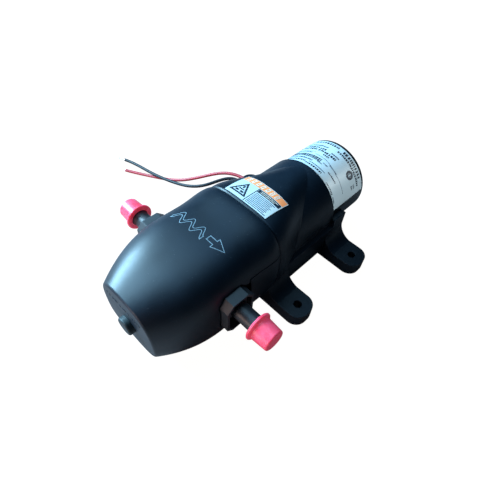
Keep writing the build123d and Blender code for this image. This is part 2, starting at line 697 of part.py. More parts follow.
def make_drive_housing():
    """Open-fronted cup that joins the pump stack to the motor and holds the wobble plate."""
    with BuildPart() as housing:
        stack_plate(DRIVE_FLANGE_REAR, DRIVE_FRONT)
        rod(BARREL_R, PLATE_FRONT, SEAM + SEAM_GAP)
        rod(BARREL_NECK_R, SEAM + SEAM_GAP, DRIVE_FLANGE_REAR)
        for x in (-BOLT_X, BOLT_X):
            for z in (STACK_Z - BOLT_Z, STACK_Z + BOLT_Z):
                rod(2 * BOLT_R, DRIVE_FLANGE_REAR, BOLT_END + 1.0, x, z)
        rod(BARREL_BORE_R, PLATE_FRONT - DRIVE_FLOOR, DRIVE_FRONT - 1, mode=Mode.SUBTRACT)
        rod(BARREL_SHAFT_R, PLATE_FRONT + 1, PLATE_FRONT - 4, mode=Mode.SUBTRACT)
        for x in (-BOLT_X, BOLT_X):
            for z in (STACK_Z - BOLT_Z, STACK_Z + BOLT_Z):
                rod(2 * BOLT_R, DRIVE_FRONT, DRIVE_FLANGE_REAR, x, z)
        bolt_holes(BOLT_END, DRIVE_FRONT - 1)
        for z in DRIVE_SCREWS_Z:
            rod(SCREW_R + SLIP, PLATE_FRONT + 1, PLATE_FRONT - 4, 0, z, mode=Mode.SUBTRACT)
    save(housing, "drive_housing")


def make_drive_screws():
    """Two short screws from the drive housing into the motor's front plate."""
    with BuildPart() as screws:
        for z in DRIVE_SCREWS_Z:
            top = PLATE_FRONT - DRIVE_FLOOR - SCREW_HEAD
            rod(SCREW_HEAD_R, PLATE_FRONT - DRIVE_FLOOR, top, 0, z)
            rod(SCREW_R, PLATE_FRONT - DRIVE_FLOOR - 0.5, PLATE_FRONT + 2, 0, z)
            block(-2, 2, top - 1, top + 1, z - SLOT_HALF, z + SLOT_HALF, mode=Mode.SUBTRACT)
    save(screws, "drive_screws")


def tilted_ring(inner_r, outer_r, start, length, mode=Mode.ADD):
    """Ring about the tilted bearing axis; start and length run towards the nose."""
    with BuildSketch(wobble.offset(start)) as ring:
        Circle(outer_r)
        if inner_r:
            Circle(inner_r, mode=Mode.SUBTRACT)
    extrude(ring.sketch, amount=length, mode=mode)


def make_eccentric_hub():
    """Hub on the shaft whose journal is tilted, so that the wobble plate nods as it turns."""
    with BuildPart() as hub:
        rod(HUB_REAR_R, HUB_REAR, BOLT_END)
        tilted_ring(0, JOURNAL_R, -WOBBLE_HALF, 2 * WOBBLE_HALF + 1.5)
        tilted_ring(0, JOURNAL_R + 1, -1.5 * WOBBLE_HALF, WOBBLE_HALF / 2)
        rod(SHAFT_R, HUB_REAR + 1, BOLT_END - 2, mode=Mode.SUBTRACT)
    save(hub, "eccentric_hub")


def make_wobble_bearing():
    """Ball bearing between the tilted journal and the wobble plate."""
    with BuildPart() as inner:
        tilted_ring(JOURNAL_R, WOBBLE_INNER_R, -WOBBLE_HALF, 2 * WOBBLE_HALF)
    save(inner, "wobble_bearing_inner")
    with BuildPart() as balls:
        circle_r = (WOBBLE_INNER_R + WOBBLE_OUTER_R) / 2
        for turn in range(WOBBLE_BALLS):
            angle = 2 * pi * turn / WOBBLE_BALLS
            spot = wobble.from_local_coords((circle_r * cos(angle), circle_r * sin(angle), 0))
            with Locations(spot):
                Sphere(BALL_R)
    save(balls, "wobble_bearing_balls")
    with BuildPart() as outer:
        tilted_ring(WOBBLE_OUTER_R, WOBBLE_RING_R, -WOBBLE_HALF, 2 * WOBBLE_HALF)
    save(outer, "wobble_bearing_outer")


def make_wobble_plate():
    """Yoke round the bearing with a post for each piston."""
    with BuildPart() as yoke:
        tilted_ring(WOBBLE_RING_R, YOKE_R, -WOBBLE_HALF, 3 * WOBBLE_HALF)
        tilted_ring(YOKE_LIP_R, YOKE_R, WOBBLE_HALF + 0.2, WOBBLE_HALF)
        for x in (-PISTON_X, PISTON_X):
            with BuildSketch(wobble.offset(WOBBLE_HALF + 1)) as post:
                with Locations((x, 0)):
                    Circle(POST_R)
            extrude(post.sketch, amount=POST_END - WOBBLE_HALF - 1)
            with BuildSketch(wobble.offset(POST_END - PISTON_PAD)) as pad:
                with Locations((x, 0)):
                    Circle(PISTON_R)
            extrude(pad.sketch, amount=PISTON_PAD - 0.02)
        tilted_ring(0, YOKE_LIP_R, -WOBBLE_HALF - 1, 2 * WOBBLE_HALF + 1.2, mode=Mode.SUBTRACT)
        for x in (-PISTON_X, PISTON_X):
            with BuildSketch(wobble.offset(POST_END - PISTON_SCREW - 1)) as pilot:
                with Locations((x, 0)):
                    Circle(PISTON_SCREW_R + SLIP)
            extrude(pilot.sketch, amount=PISTON_SCREW + 2, mode=Mode.SUBTRACT)
    save(yoke, "wobble_plate")


def make_pistons():
    """Piston discs in front of the diaphragm, each with its countersunk screw."""
    with BuildPart() as discs:
        for x in (-PISTON_X, PISTON_X):
            with BuildSketch(wobble.offset(POST_END + WEB + 0.02)) as disc:
                with Locations((x, 0)):
                    Circle(PISTON_R)
                    Circle(DISC_BORE_R, mode=Mode.SUBTRACT)
            extrude(disc.sketch, amount=DISC)
    save(discs, "piston_discs")
    with BuildPart() as screws:
        for x in (-PISTON_X, PISTON_X):
            with BuildSketch(wobble.offset(POST_END - PISTON_SCREW)) as shank:
                with Locations((x, 0)):
                    Circle(PISTON_SCREW_R)
            extrude(shank.sketch, amount=PISTON_SCREW + WEB + 1.4)
            with BuildSketch(wobble.offset(POST_END + WEB + 1.34)) as head:
                with Locations((x, 0)):
                    Circle(DISC_SCREW_R)
                    RectangleRounded(DISC_SCREW_HEAD, 3.2, 0.2, mode=Mode.SUBTRACT)
            extrude(head.sketch, amount=DISC_SCREW_HEAD)
    save(screws, "piston_screws")


# ---- motor --------------------------------------------------------------------------------------
def make_motor_can():
    """Deep-drawn steel can with a rounded rear end and a boss for the rear bush."""
    with BuildPart() as can:
        rod(MOTOR_R, MOTOR_FRONT, MOTOR_REAR)
        fillet(can.edges().sort_by(Axis.Y)[-1], radius=CAN_EDGE_R)
        rod(CAN_INNER_R, MOTOR_FRONT - 1, MOTOR_REAR - CAN_WALL, mode=Mode.SUBTRACT)
        rod(BUSH_SEAT_R, BUSH_FRONT, MOTOR_REAR - CAN_WALL)
        rod(BUSH_R, BUSH_FRONT - 1, MOTOR_REAR - CAN_WALL, mode=Mode.SUBTRACT)
    save(can, "motor_can")


def make_motor_front_plate():
    """Front end plate with the seat of the front bearing."""
    with BuildPart() as plate:
        rod(MOTOR_R, PLATE_REAR, PLATE_FRONT)
        rod(CAN_INNER_R, PLATE_REAR, BEARING_REAR)
        rod(BEARING_R, BEARING_REAR + 1, PLATE_FRONT - 1, mode=Mode.SUBTRACT)
        for z in DRIVE_SCREWS_Z:
            rod(SCREW_R + SLIP, PLATE_FRONT - 1, BEARING_REAR - 1, 0, z, mode=Mode.SUBTRACT)
        block(*LEAD_WINDOW_X, PLATE_FRONT - 1, BEARING_REAR + 1, MOTOR_Z - LEAD_WINDOW,
              MOTOR_Z + LEAD_WINDOW, mode=Mode.SUBTRACT)
    save(plate, "motor_front_plate")


def make_front_bearing():
    """Ball bearing that carries the shaft in the front plate."""
    with BuildPart() as outer:
        rod(BEARING_R, BEARING_REAR, PLATE_FRONT)
        rod(BEARING_RACE_R, BEARING_REAR + 1, PLATE_FRONT - 1, mode=Mode.SUBTRACT)
    save(outer, "front_bearing_outer")
    with BuildPart() as inner:
        rod(BEARING_HUB_R, BEARING_REAR, PLATE_FRONT)
        rod(SHAFT_R, BEARING_REAR + 1, PLATE_FRONT - 1, mode=Mode.SUBTRACT)
    save(inner, "front_bearing_inner")
    with BuildPart() as balls:
        middle = (BEARING_REAR + PLATE_FRONT) / 2
        for turn in range(BEARING_BALLS):
            angle = 2 * pi * turn / BEARING_BALLS
            x, up = BEARING_CIRCLE_R * cos(angle), BEARING_CIRCLE_R * sin(angle)
            with Locations((x, middle, MOTOR_Z + up)):
                Sphere(BALL_R)
    save(balls, "front_bearing_balls")


def make_shaft_and_bush():
    """Motor shaft, the sintered bush at its rear end and the thrust washer in front of the bush."""
    with BuildPart() as shaft:
        rod(SHAFT_R, BOLT_END - 1, BUSH_FRONT + 5)
        chamfer(shaft.edges().filter_by(GeomType.CIRCLE), length=0.4)
    save(shaft, "motor_shaft")
    with BuildPart() as bush:
        rod(BUSH_R, BUSH_FRONT, MOTOR_REAR - CAN_WALL)
        rod(SHAFT_R + SLIP, BUSH_FRONT - 1, MOTOR_REAR - CAN_WALL + 1, mode=Mode.SUBTRACT)
    save(bush, "rear_bush")
    with BuildPart() as washer:
        rod(SHAFT_R + 2, BUSH_FRONT - 0.8, BUSH_FRONT - 0.2)
        rod(SHAFT_R, BUSH_FRONT - 1, BUSH_FRONT, mode=Mode.SUBTRACT)
    save(washer, "thrust_washer")


def slot_places(radius):
    """Angle in degrees, X and Z of each armature slot at a radius."""
    for turn in range(SLOTS):
        angle = 2 * pi * (turn + 0.5) / SLOTS
        yield degrees(angle), radius * cos(angle), MOTOR_Z + radius * sin(angle)


def make_armature():
    """Laminated core with slots, its copper windings and the commutator."""
    with BuildPart() as core:
        rod(CORE_R, CORE_FRONT, CORE_REAR)
        for angle, x, z in slot_places(SLOT_CIRCLE_R):
            with BuildSketch(station(CORE_REAR + 1, x, z)) as slot:
                with Locations(Location((0, 0, 0), (0, 0, angle))):
                    RectangleRounded(SLOT_DEEP, SLOT_WIDE, SLOT_CORNER)
                    with Locations((SLOT_DEEP / 2 + 0.8, 0)):
                        Rectangle(SLOT_DEEP / 2, SLOT_MOUTH)
            extrude(slot.sketch, amount=CORE_REAR - CORE_FRONT + 2, mode=Mode.SUBTRACT)
        rod(SHAFT_R, CORE_FRONT - 1, CORE_REAR + 1, mode=Mode.SUBTRACT)
    save(core, "armature_core")
    with BuildPart() as windings:
        for angle, x, z in slot_places(SLOT_CIRCLE_R):
            with BuildSketch(station(CORE_REAR + 0.5, x, z)) as bundle:
                with Locations(Location((0, 0, 0), (0, 0, angle))):
                    RectangleRounded(SLOT_DEEP - SLOT_LINER, SLOT_WIDE - SLOT_LINER,
                                     SLOT_CORNER - GAP)
            extrude(bundle.sketch, amount=CORE_REAR - CORE_FRONT + 1)
        for near, far in ((CORE_REAR + 0.2, CORE_REAR + 5), (CORE_FRONT - 0.2, CORE_FRONT - 5)):
            with BuildPart(mode=Mode.PRIVATE) as end_turns:
                rod(END_TURNS_R, near, far)
                fillet(end_turns.edges().filter_by(GeomType.CIRCLE), radius=1.8)
                rod(END_TURNS_BORE_R, near + (near - far), far - (near - far), mode=Mode.SUBTRACT)
            add(end_turns.part)
    save(windings, "armature_windings")
    with BuildPart() as hub:
        rod(HUB_R, -BARS_HALF - 0.5, BARS_HALF + 1)
        rod(SHAFT_R, -2 * BARS_HALF, 2 * BARS_HALF, mode=Mode.SUBTRACT)
    save(hub, "commutator_hub")
    with BuildPart() as bars:
        rod(BARS_R, -BARS_HALF, BARS_HALF)
        rod(HUB_R, -BARS_HALF - 1, BARS_HALF + 1, mode=Mode.SUBTRACT)
        for turn in range(SLOTS):
            angle = 2 * pi * turn / SLOTS
            with BuildSketch(station(BARS_HALF + 1, z=MOTOR_Z)) as cut:
                with Locations(Location((0, 0, 0), (0, 0, degrees(angle)))):
                    with Locations(((HUB_R + BARS_R) / 2, 0)):
                        Rectangle(BARS_R - HUB_R + 1.2, 0.5)
            extrude(cut.sketch, amount=2 * BARS_HALF + 2, mode=Mode.SUBTRACT)
    save(bars, "commutator_bars")


def make_field_magnets():
    """Two ceramic arc magnets bonded inside the can."""
    with BuildPart() as magnets:
        rod(CAN_INNER_R, MAGNET_FRONT, MAGNET_REAR)
        rod(MAGNET_INNER_R, MAGNET_FRONT - 1, MAGNET_REAR + 1, mode=Mode.SUBTRACT)
        block(-FAR, FAR, MAGNET_FRONT - 1, MAGNET_REAR + 1, MOTOR_Z - MAGNET_GAP,
              MOTOR_Z + MAGNET_GAP, mode=Mode.SUBTRACT)
    save(magnets, "field_magnets")


def make_brush_gear():
    """Insulating card with two brass tubes, carbon brushes and the springs behind them."""
    with BuildPart() as card:
        rod(CAN_INNER_R - GAP, CARD_FRONT, CARD_REAR)
        rod(CARD_BORE_R, CARD_FRONT - 1, CARD_REAR + 1, mode=Mode.SUBTRACT)
        block(*LEAD_WINDOW_X, CARD_FRONT - 1, CARD_REAR + 1, MOTOR_Z - LEAD_WINDOW,
              MOTOR_Z + LEAD_WINDOW, mode=Mode.SUBTRACT)
        for z in DRIVE_SCREWS_Z:
            rod(SCREW_R + 0.7, CARD_FRONT - 1, CARD_REAR + 1, 0, z, mode=Mode.SUBTRACT)
    save(card, "brush_card")
    with BuildPart() as tubes:
        inner = BRUSH_HALF + GAP
        outer = inner + TUBE_WALL
        front, rear = BRUSH_Y[0] - GAP, BRUSH_Y[1] + GAP
        for side in SIDES:
            near, far = MOTOR_Z + side * TUBE_NEAR, MOTOR_Z + side * TUBE_FAR
            block(-outer, outer, front - TUBE_WALL, rear + TUBE_WALL, near, far)
            block(-inner, inner, front, rear, near - side, far + side, mode=Mode.SUBTRACT)
    save(tubes, "brush_tubes")
    with BuildPart() as brushes:
        for side in SIDES:
            near, far = MOTOR_Z + side * (BARS_R + SLIP), MOTOR_Z + side * BRUSH_FAR
            block(-BRUSH_HALF, BRUSH_HALF, *BRUSH_Y, near, far)
    save(brushes, "carbon_brushes")
    middle = (BRUSH_Y[0] + BRUSH_Y[1]) / 2
    start = BRUSH_FAR + BRUSH_WIRE_R + SLIP
    length = TUBE_FAR - BRUSH_WIRE_R - start
    coils = [
        coil(BRUSH_SPRING_R, BRUSH_WIRE_R, length, BRUSH_TURNS, (0, middle, MOTOR_Z + side * start),
             (0, 0, side))
        for side in SIDES
    ]
    with BuildPart() as springs:
        for spring in coils:
            add(spring)
    save(springs, "brush_springs")


# ---- pressure switch ----------------------------------------------------------------------------
def make_switch_body():
    """Moulded body that clamps the sensing diaphragm and holds the spring and the adjuster."""
    with BuildPart() as body:
        block(-SWITCH_HALF, SWITCH_HALF, MANIFOLD_FRONT, SWITCH_FLANGE_FRONT,
              SWITCH_Z - SWITCH_HEIGHT, SWITCH_Z + SWITCH_HEIGHT)
        fillet(body.edges().filter_by(Axis.Y), radius=4)
        rod(SWITCH_BARREL_R, SWITCH_FLANGE_FRONT, SWITCH_NOSE, z=SWITCH_Z)
        rod(SWITCH_SENSE_R, MANIFOLD_FRONT + 1, MANIFOLD_FRONT - SWITCH_SENSE, z=SWITCH_Z,
            mode=Mode.SUBTRACT)
        rod(PLUNGER_BORE_R, MANIFOLD_FRONT, SWITCH_FLANGE_FRONT + 0.6, z=SWITCH_Z,
            mode=Mode.SUBTRACT)
        rod(SPRING_BORE_R, SWITCH_FLANGE_FRONT + 1, SPRING_BORE_FRONT, z=SWITCH_Z,
            mode=Mode.SUBTRACT)
        block(-1 - GAP, 1 + GAP, SPRING_BORE_FRONT, SWITCH_FLANGE_FRONT, SWITCH_Z + KEY_Z[0],
              SWITCH_Z + KEY_Z[1] + 2 * GAP, mode=Mode.SUBTRACT)
        rod(SCREW_R + SLIP, SPRING_BORE_FRONT + 1, SWITCH_NOSE - 1, z=SWITCH_Z, mode=Mode.SUBTRACT)
        rod(ADJUSTER_HEAD_R + SLIP, ADJUSTER_HEAD_REAR + GAP, SWITCH_NOSE - 1, z=SWITCH_Z,
            mode=Mode.SUBTRACT)
        block(SWITCH_BARREL_R, ARM_END + 0.6, SWITCH_FLANGE_FRONT - 1,
              MANIFOLD_FRONT - SWITCH_SENSE - 0.02, SWITCH_Z - ARM_HALF - 2 * GAP,
              SWITCH_Z + ARM_HALF + 2 * GAP, mode=Mode.SUBTRACT)
        for x, z in SWITCH_BOLTS:
            rod(SCREW_R + SLIP, MANIFOLD_FRONT + 1, SWITCH_FLANGE_FRONT - 1, x, z,
                mode=Mode.SUBTRACT)
    save(body, "switch_body")


def make_switch_internals():
    """Sensing diaphragm, plunger, spring, spring seat and adjusting screw."""
    with BuildPart() as diaphragm:
        rod(SWITCH_SENSE_R - SLIP, MANIFOLD_FRONT, MANIFOLD_FRONT - SWITCH_SENSE + SLIP, z=SWITCH_Z)
    save(diaphragm, "switch_diaphragm")
    with BuildPart() as plunger:
        rod(PLUNGER_BORE_R - GAP, MANIFOLD_FRONT - SWITCH_SENSE, SPRING_REAR, z=SWITCH_Z)
        rod(SPRING_R - 1, SPRING_REAR, SPRING_REAR - 3.0, z=SWITCH_Z)
        arm = SWITCH_Z - ARM_HALF, SWITCH_Z + ARM_HALF
        block(PLUNGER_BORE_R - 0.8, ARM_END, MANIFOLD_FRONT - SWITCH_SENSE - 0.2, SPRING_REAR, *arm)
        block(ARM_END - 2.2, ARM_END, SPRING_REAR, MICRO_REAR + BUTTON_OUT, *arm)
    save(plunger, "switch_plunger")
    end_room = SPRING_WIRE_R + GAP
    spring = coil(SPRING_R, SPRING_WIRE_R, SPRING_REAR - SPRING_FRONT - 2 * end_room, SPRING_TURNS,
                  (0, SPRING_REAR - end_room, SWITCH_Z), (0, -1, 0))
    with BuildPart() as pressure_spring:
        add(spring)
    save(pressure_spring, "pressure_spring")
    with BuildPart() as seat:
        rod(SPRING_BORE_R - SLIP, SPRING_FRONT, SPRING_FRONT - SEAT_THICK, z=SWITCH_Z)
        block(-1.0, 1.0, SPRING_FRONT, SPRING_FRONT - SEAT_THICK, SWITCH_Z + KEY_Z[0],
              SWITCH_Z + KEY_Z[1])
        rod(SCREW_R + SLIP, SPRING_FRONT + 1, SPRING_FRONT - 4, z=SWITCH_Z, mode=Mode.SUBTRACT)
    save(seat, "spring_seat")
    with BuildPart() as screw:
        rod(SCREW_R, SPRING_FRONT + 4.5, ADJUSTER_HEAD_REAR, z=SWITCH_Z)
        rod(ADJUSTER_HEAD_R, ADJUSTER_HEAD_REAR, SWITCH_NOSE + 2 * GAP, z=SWITCH_Z)
        with BuildSketch(station(SWITCH_NOSE, z=SWITCH_Z)) as socket:
            RegularPolygon(SCREW_R, 6, major_radius=False)
        extrude(socket.sketch, amount=-1.9, mode=Mode.SUBTRACT)
    save(screw, "adjusting_screw")
    with BuildPart() as screws:
        for x, z in SWITCH_BOLTS:
            top = SWITCH_FLANGE_FRONT - SCREW_HEAD
            rod(SCREW_HEAD_R, SWITCH_FLANGE_FRONT, top, x, z)
            rod(SCREW_R, SWITCH_FLANGE_FRONT, MANIFOLD_FRONT + 3.5, x, z)
            block(x - 1.8, x + 1.8, top - 1, top + 1, z - SLOT_HALF, z + SLOT_HALF,
                  mode=Mode.SUBTRACT)
    save(screws, "switch_screws")


def make_microswitch():
    """Snap switch beside the spring, with its push button and two tab terminals."""
    with BuildPart() as case:
        block(MICRO_X, MICRO_X + MICRO_THICK, MICRO_REAR, MICRO_REAR - MICRO_LENGTH,
              SWITCH_Z - MICRO_HALF, SWITCH_Z + MICRO_HALF)
        fillet(case.edges().filter_by(Axis.X), radius=0.8)
        rod(BUTTON_R + SLIP, MICRO_REAR + 1, MICRO_REAR - 2.5, BUTTON_X, SWITCH_Z,
            mode=Mode.SUBTRACT)
    save(case, "microswitch_case")
    with BuildPart() as button:
        rod(BUTTON_R, MICRO_REAR + BUTTON_OUT, MICRO_REAR - 1.5, BUTTON_X, SWITCH_Z)
    save(button, "microswitch_button")
    with BuildPart() as terminals:
        for z in (SWITCH_Z - TAB_Z, SWITCH_Z + TAB_Z):
            block(BUTTON_X - TAB_THICK / 2, BUTTON_X + TAB_THICK / 2, MICRO_REAR - MICRO_LENGTH,
                  MICRO_REAR - MICRO_LENGTH - TAB, z - TAB_WIDE / 2, z + TAB_WIDE / 2)
    save(terminals, "microswitch_terminals")


# ---- hose tails and caps ------------------------------------------------------------------------
def make_hose_tail(side, name):
    """Hose tail: sealed spigot, base ring and a barbed tube."""
    with BuildPart() as tail:
        cross_rod(TAIL_SPIGOT_R, side * TAIL_ROOT, side * TAIL_SHOULDER)
        cross_rod(TAIL_BASE_R, side * TAIL_SHOULDER, side * TAIL_NECK)
        cross_rod(TAIL_R, side * TAIL_NECK, side * TAIL_END)
        for barb in range(BARBS):
            root = TAIL_END - BARB_PITCH * (barb + 1)
            with BuildSketch(Plane.XY.offset(PORT_Z)) as tooth:
                Polygon(
                    (side * root, PORT_Y), (side * root, PORT_Y + BARB_R),
                    (side * (root + BARB_LAND), PORT_Y + BARB_R),
                    (side * (root + BARB_LENGTH), PORT_Y + TAIL_R),
                    (side * (root + BARB_LENGTH), PORT_Y), align=None,
                )
            revolve(tooth.sketch, axis=Axis((0, PORT_Y, PORT_Z), (1, 0, 0)))
        groove = [side * x for x in SEAL_GROOVE]
        cross_rod(TAIL_SPIGOT_R + 1, *groove, mode=Mode.SUBTRACT)
        cross_rod(SEAL_GROOVE_R, *groove)
        cross_rod(TAIL_BORE_R, side * (TAIL_ROOT - 1), side * (TAIL_END + 1), mode=Mode.SUBTRACT)
    save(tail, name)


def make_tail_seals_and_clips():
    """O-rings on the spigots and the U-shaped clips that lock the tails in their bosses."""
    with BuildPart() as seals:
        for side in SIDES:
            near, far = side * (SEAL_GROOVE[0] + SLIP), side * (SEAL_GROOVE[1] - SLIP)
            cross_rod(TAIL_SPIGOT_R + 0.03, near, far)
            cross_rod(SEAL_GROOVE_R + 0.02, near - side, far + side, mode=Mode.SUBTRACT)
        fillet(seals.edges().filter_by(GeomType.CIRCLE), radius=0.4)
    save(seals, "tail_seals")
    with BuildPart() as clips:
        for side in SIDES:
            with BuildSketch(sideways(side * (BOSS_FLOOR + GAP), PORT_Y, BOSS_Z)) as clip:
                Rectangle(POCKET_LENGTH - 4 * GAP, POCKET_HEIGHT - 4 * GAP)
                chamfer(clip.vertices(), length=POCKET_CORNER)
                with Locations((0, PORT_Z - BOSS_Z)):
                    Circle(TAIL_SPIGOT_R + GAP, mode=Mode.SUBTRACT)
                with Locations((0, -CLIP_SLOT)):
                    Rectangle(CLIP_SLOT, 2 * CLIP_SLOT, mode=Mode.SUBTRACT)
                for y in (-CLIP_TOOTH_Y, CLIP_TOOTH_Y):
                    with Locations((y, -POCKET_HEIGHT / 2 + CLIP_TOOTH)):
                        Triangle(a=CLIP_TOOTH, b=CLIP_TOOTH, c=CLIP_TOOTH, mode=Mode.SUBTRACT)
            extrude(clip.sketch, amount=side * CLIP_THICK)
    save(clips, "tail_clips")


def make_port_cap(side, name):
    """Soft vinyl shipping cap with a flange round its open end and a slight taper."""
    with BuildPart() as cap:
        with BuildSketch(Plane.XY.offset(PORT_Z)) as profile:
            with BuildLine():
                Polyline(
                    (side * CAP_OPEN, PORT_Y + CAP_CAVITY_R),
                    (side * CAP_OPEN, PORT_Y + CAP_FLANGE_R - CAP_EDGE),
                    (side * (CAP_OPEN + CAP_EDGE), PORT_Y + CAP_FLANGE_R),
                    (side * (CAP_OPEN + CAP_FLANGE - CAP_EDGE), PORT_Y + CAP_FLANGE_R),
                    (side * (CAP_OPEN + CAP_FLANGE), PORT_Y + CAP_FLANGE_R - CAP_EDGE),
                    (side * (CAP_OPEN + CAP_FLANGE + 0.6), PORT_Y + CAP_R),
                    (side * (CAP_END - 1.0), PORT_Y + CAP_END_R),
                )
                ThreePointArc(
                    (side * (CAP_END - 1.0), PORT_Y + CAP_END_R),
                    (side * (CAP_END - 0.3), PORT_Y + CAP_END_R - 0.3),
                    (side * CAP_END, PORT_Y + CAP_END_R - 1.0),
                )
                Polyline(
                    (side * CAP_END, PORT_Y + CAP_END_R - 1.0),
                    (side * CAP_END, PORT_Y),
                    (side * (CAP_END - CAP_FACE), PORT_Y),
                    (side * (CAP_END - CAP_FACE), PORT_Y + CAP_CAVITY_R),
                    (side * CAP_OPEN, PORT_Y + CAP_CAVITY_R),
                )
            make_face()
        revolve(profile.sketch, axis=Axis((0, PORT_Y, PORT_Z), (1, 0, 0)))
    save(cap, name)


# ---- labels and leads ---------------------------------------------------------------------------
def make_motor_label():
    """White wrap label over the top of the motor can."""
    with BuildPart() as label:
        rod(MOTOR_R + LABEL_GLUE + LABEL, LABEL_FRONT, LABEL_REAR)
        rod(MOTOR_R + LABEL_GLUE, LABEL_FRONT - 1, LABEL_REAR + 1, mode=Mode.SUBTRACT)
        block(-FAR, FAR, LABEL_FRONT - 1, LABEL_REAR + 1, -FAR, LABEL_EDGE_Z, mode=Mode.SUBTRACT)
    save(label, "motor_label")


def make_caution_label():
    """Rectangular sticker over the crown of the sleeve, just behind the seam."""
    over = fairing_solid(LABEL_GLUE + LABEL)
    under = fairing_solid(LABEL_GLUE)
    with BuildPart() as label:
        add(over)
        add(under, mode=Mode.SUBTRACT)
        block(-STICKER_HALF, STICKER_HALF, STICKER_FRONT, STICKER_REAR, PARTING_Z, FAR,
              mode=Mode.INTERSECT)
    save(label, "caution_label")


def lead_solid(height, waypoints, end_heading):
    """Round insulated wire: straight along the motor, then a free curve down to the ground."""
    start = (*LEAD_START, height)
    bend = (*waypoints[0], height)
    with BuildPart() as lead:
        with BuildLine() as line:
            Line(start, bend)
            Spline(bend, *waypoints[1:], tangents=((0, 1, 0), end_heading), tangent_scalars=(1, 1))
        with BuildSketch(Plane(origin=line.line @ 0, z_dir=line.line % 0)):
            Circle(LEAD_R)
        sweep(path=line.line)
    return lead.part, line.line @ 1, line.line % 1


def make_leads():
    """Red and black motor leads that leave through the slot on the inlet side, and bare tips."""
    leads = (
        (RED_LEAD, RED_END, LEAD_TIP_R, "lead_red"),
        (BLACK_LEAD, BLACK_END, LEAD_TIP, "lead_black"),
    )
    ends = []
    for path, end_heading, bare, name in leads:
        solid, end, heading = lead_solid(*path, end_heading)
        with BuildPart() as lead:
            add(solid)
        save(lead, name)
        ends.append((end, heading, bare))
    with BuildPart() as tips:
        for end, heading, bare in ends:
            with BuildSketch(Plane(origin=end, z_dir=heading)) as core:
                Circle(LEAD_TIP_R)
            extrude(core.sketch, amount=bare)
    save(tips, "lead_tips")


make_mounting_sleeve()
make_nose_cover()
make_adjuster_plug()
make_manifold()
make_manifold_gasket()
make_valve_plate()
make_valves("inlet_valves", MOTOR_Z - VALVE_Z, CHAMBER_FLOOR, 1)
make_valves("outlet_valves", MOTOR_Z + VALVE_Z, VALVE_PLATE_FRONT, -1)
make_pump_screws()
make_diaphragm()
make_diaphragm_plate()
make_drive_housing()
make_drive_screws()
make_eccentric_hub()
make_wobble_bearing()
make_wobble_plate()
make_pistons()
make_motor_can()
make_motor_front_plate()
make_front_bearing()
make_shaft_and_bush()
make_armature()
make_field_magnets()
make_brush_gear()
make_switch_body()
make_switch_internals()
make_microswitch()
make_hose_tail(-1, "hose_tail_inlet")
make_hose_tail(1, "hose_tail_outlet")
make_tail_seals_and_clips()
make_port_cap(-1, "port_cap_inlet")
make_port_cap(1, "port_cap_outlet")
make_motor_label()
make_caution_label()
make_leads()
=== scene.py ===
import json
import math
import random
import bmesh
import bpy
import numpy as np
from mathutils import Matrix, Vector
from mathutils.bvhtree import BVHTree


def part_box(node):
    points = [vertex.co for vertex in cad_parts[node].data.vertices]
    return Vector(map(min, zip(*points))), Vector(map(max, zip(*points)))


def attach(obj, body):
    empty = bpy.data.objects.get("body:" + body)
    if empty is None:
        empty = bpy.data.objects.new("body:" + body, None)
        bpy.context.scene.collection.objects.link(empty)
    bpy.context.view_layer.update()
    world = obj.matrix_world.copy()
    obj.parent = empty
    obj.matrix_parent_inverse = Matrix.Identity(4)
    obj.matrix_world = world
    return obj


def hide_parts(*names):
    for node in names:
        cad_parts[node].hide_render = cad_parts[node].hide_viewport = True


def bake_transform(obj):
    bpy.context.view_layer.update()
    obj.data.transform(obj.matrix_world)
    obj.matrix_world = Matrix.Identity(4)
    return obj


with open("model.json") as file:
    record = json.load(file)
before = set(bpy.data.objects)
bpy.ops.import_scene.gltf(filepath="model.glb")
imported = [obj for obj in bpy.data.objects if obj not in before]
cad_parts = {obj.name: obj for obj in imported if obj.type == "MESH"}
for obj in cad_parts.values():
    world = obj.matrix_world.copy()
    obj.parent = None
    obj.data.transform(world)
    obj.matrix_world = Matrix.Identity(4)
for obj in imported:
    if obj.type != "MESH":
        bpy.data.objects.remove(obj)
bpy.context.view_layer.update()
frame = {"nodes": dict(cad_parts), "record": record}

# A small diaphragm bilge pump on a pale studio floor. Metres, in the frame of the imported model:
# the feet stand on Z = 0, the nose points to -Y, and water flows towards +X.

MM = 0.001


# ---- material helpers ---------------------------------------------------------------------------
# Two numbers are the noise values, from 0 to 1, between which an effect fades in.
DRIFT = (0.3, 0.7)              # slow changes of tone and gloss
PALER_PATCHES = (0.35, 0.75)
WEAR_AND_SHEEN_PATCHES = (0.4, 0.62)
DUST_SPECKS = (0.775, 0.81)
SHARP_EDGE = (0.82, 0.985)      # cosine between the flat normal and the softened one
WEAR_AND_SHEEN_SHARE = 0.55             # of the edge colour, where an edge is fully lightened by wear and a painted edge highlight
DUST_COLOUR = (0.30, 0.33, 0.35)
DARKER_METAL, DULLER_FILM = 0.72, 0.93      # tone of the darker patches
VINYL_SCATTER = (0.004, 0.0012, 0.0014)     # how far red, green and blue travel inside, in metres
BEVEL_SAMPLES = 6
MIX_A, MIX_B, MIX_OUT = 6, 7, 2     # colour sockets of a mix node


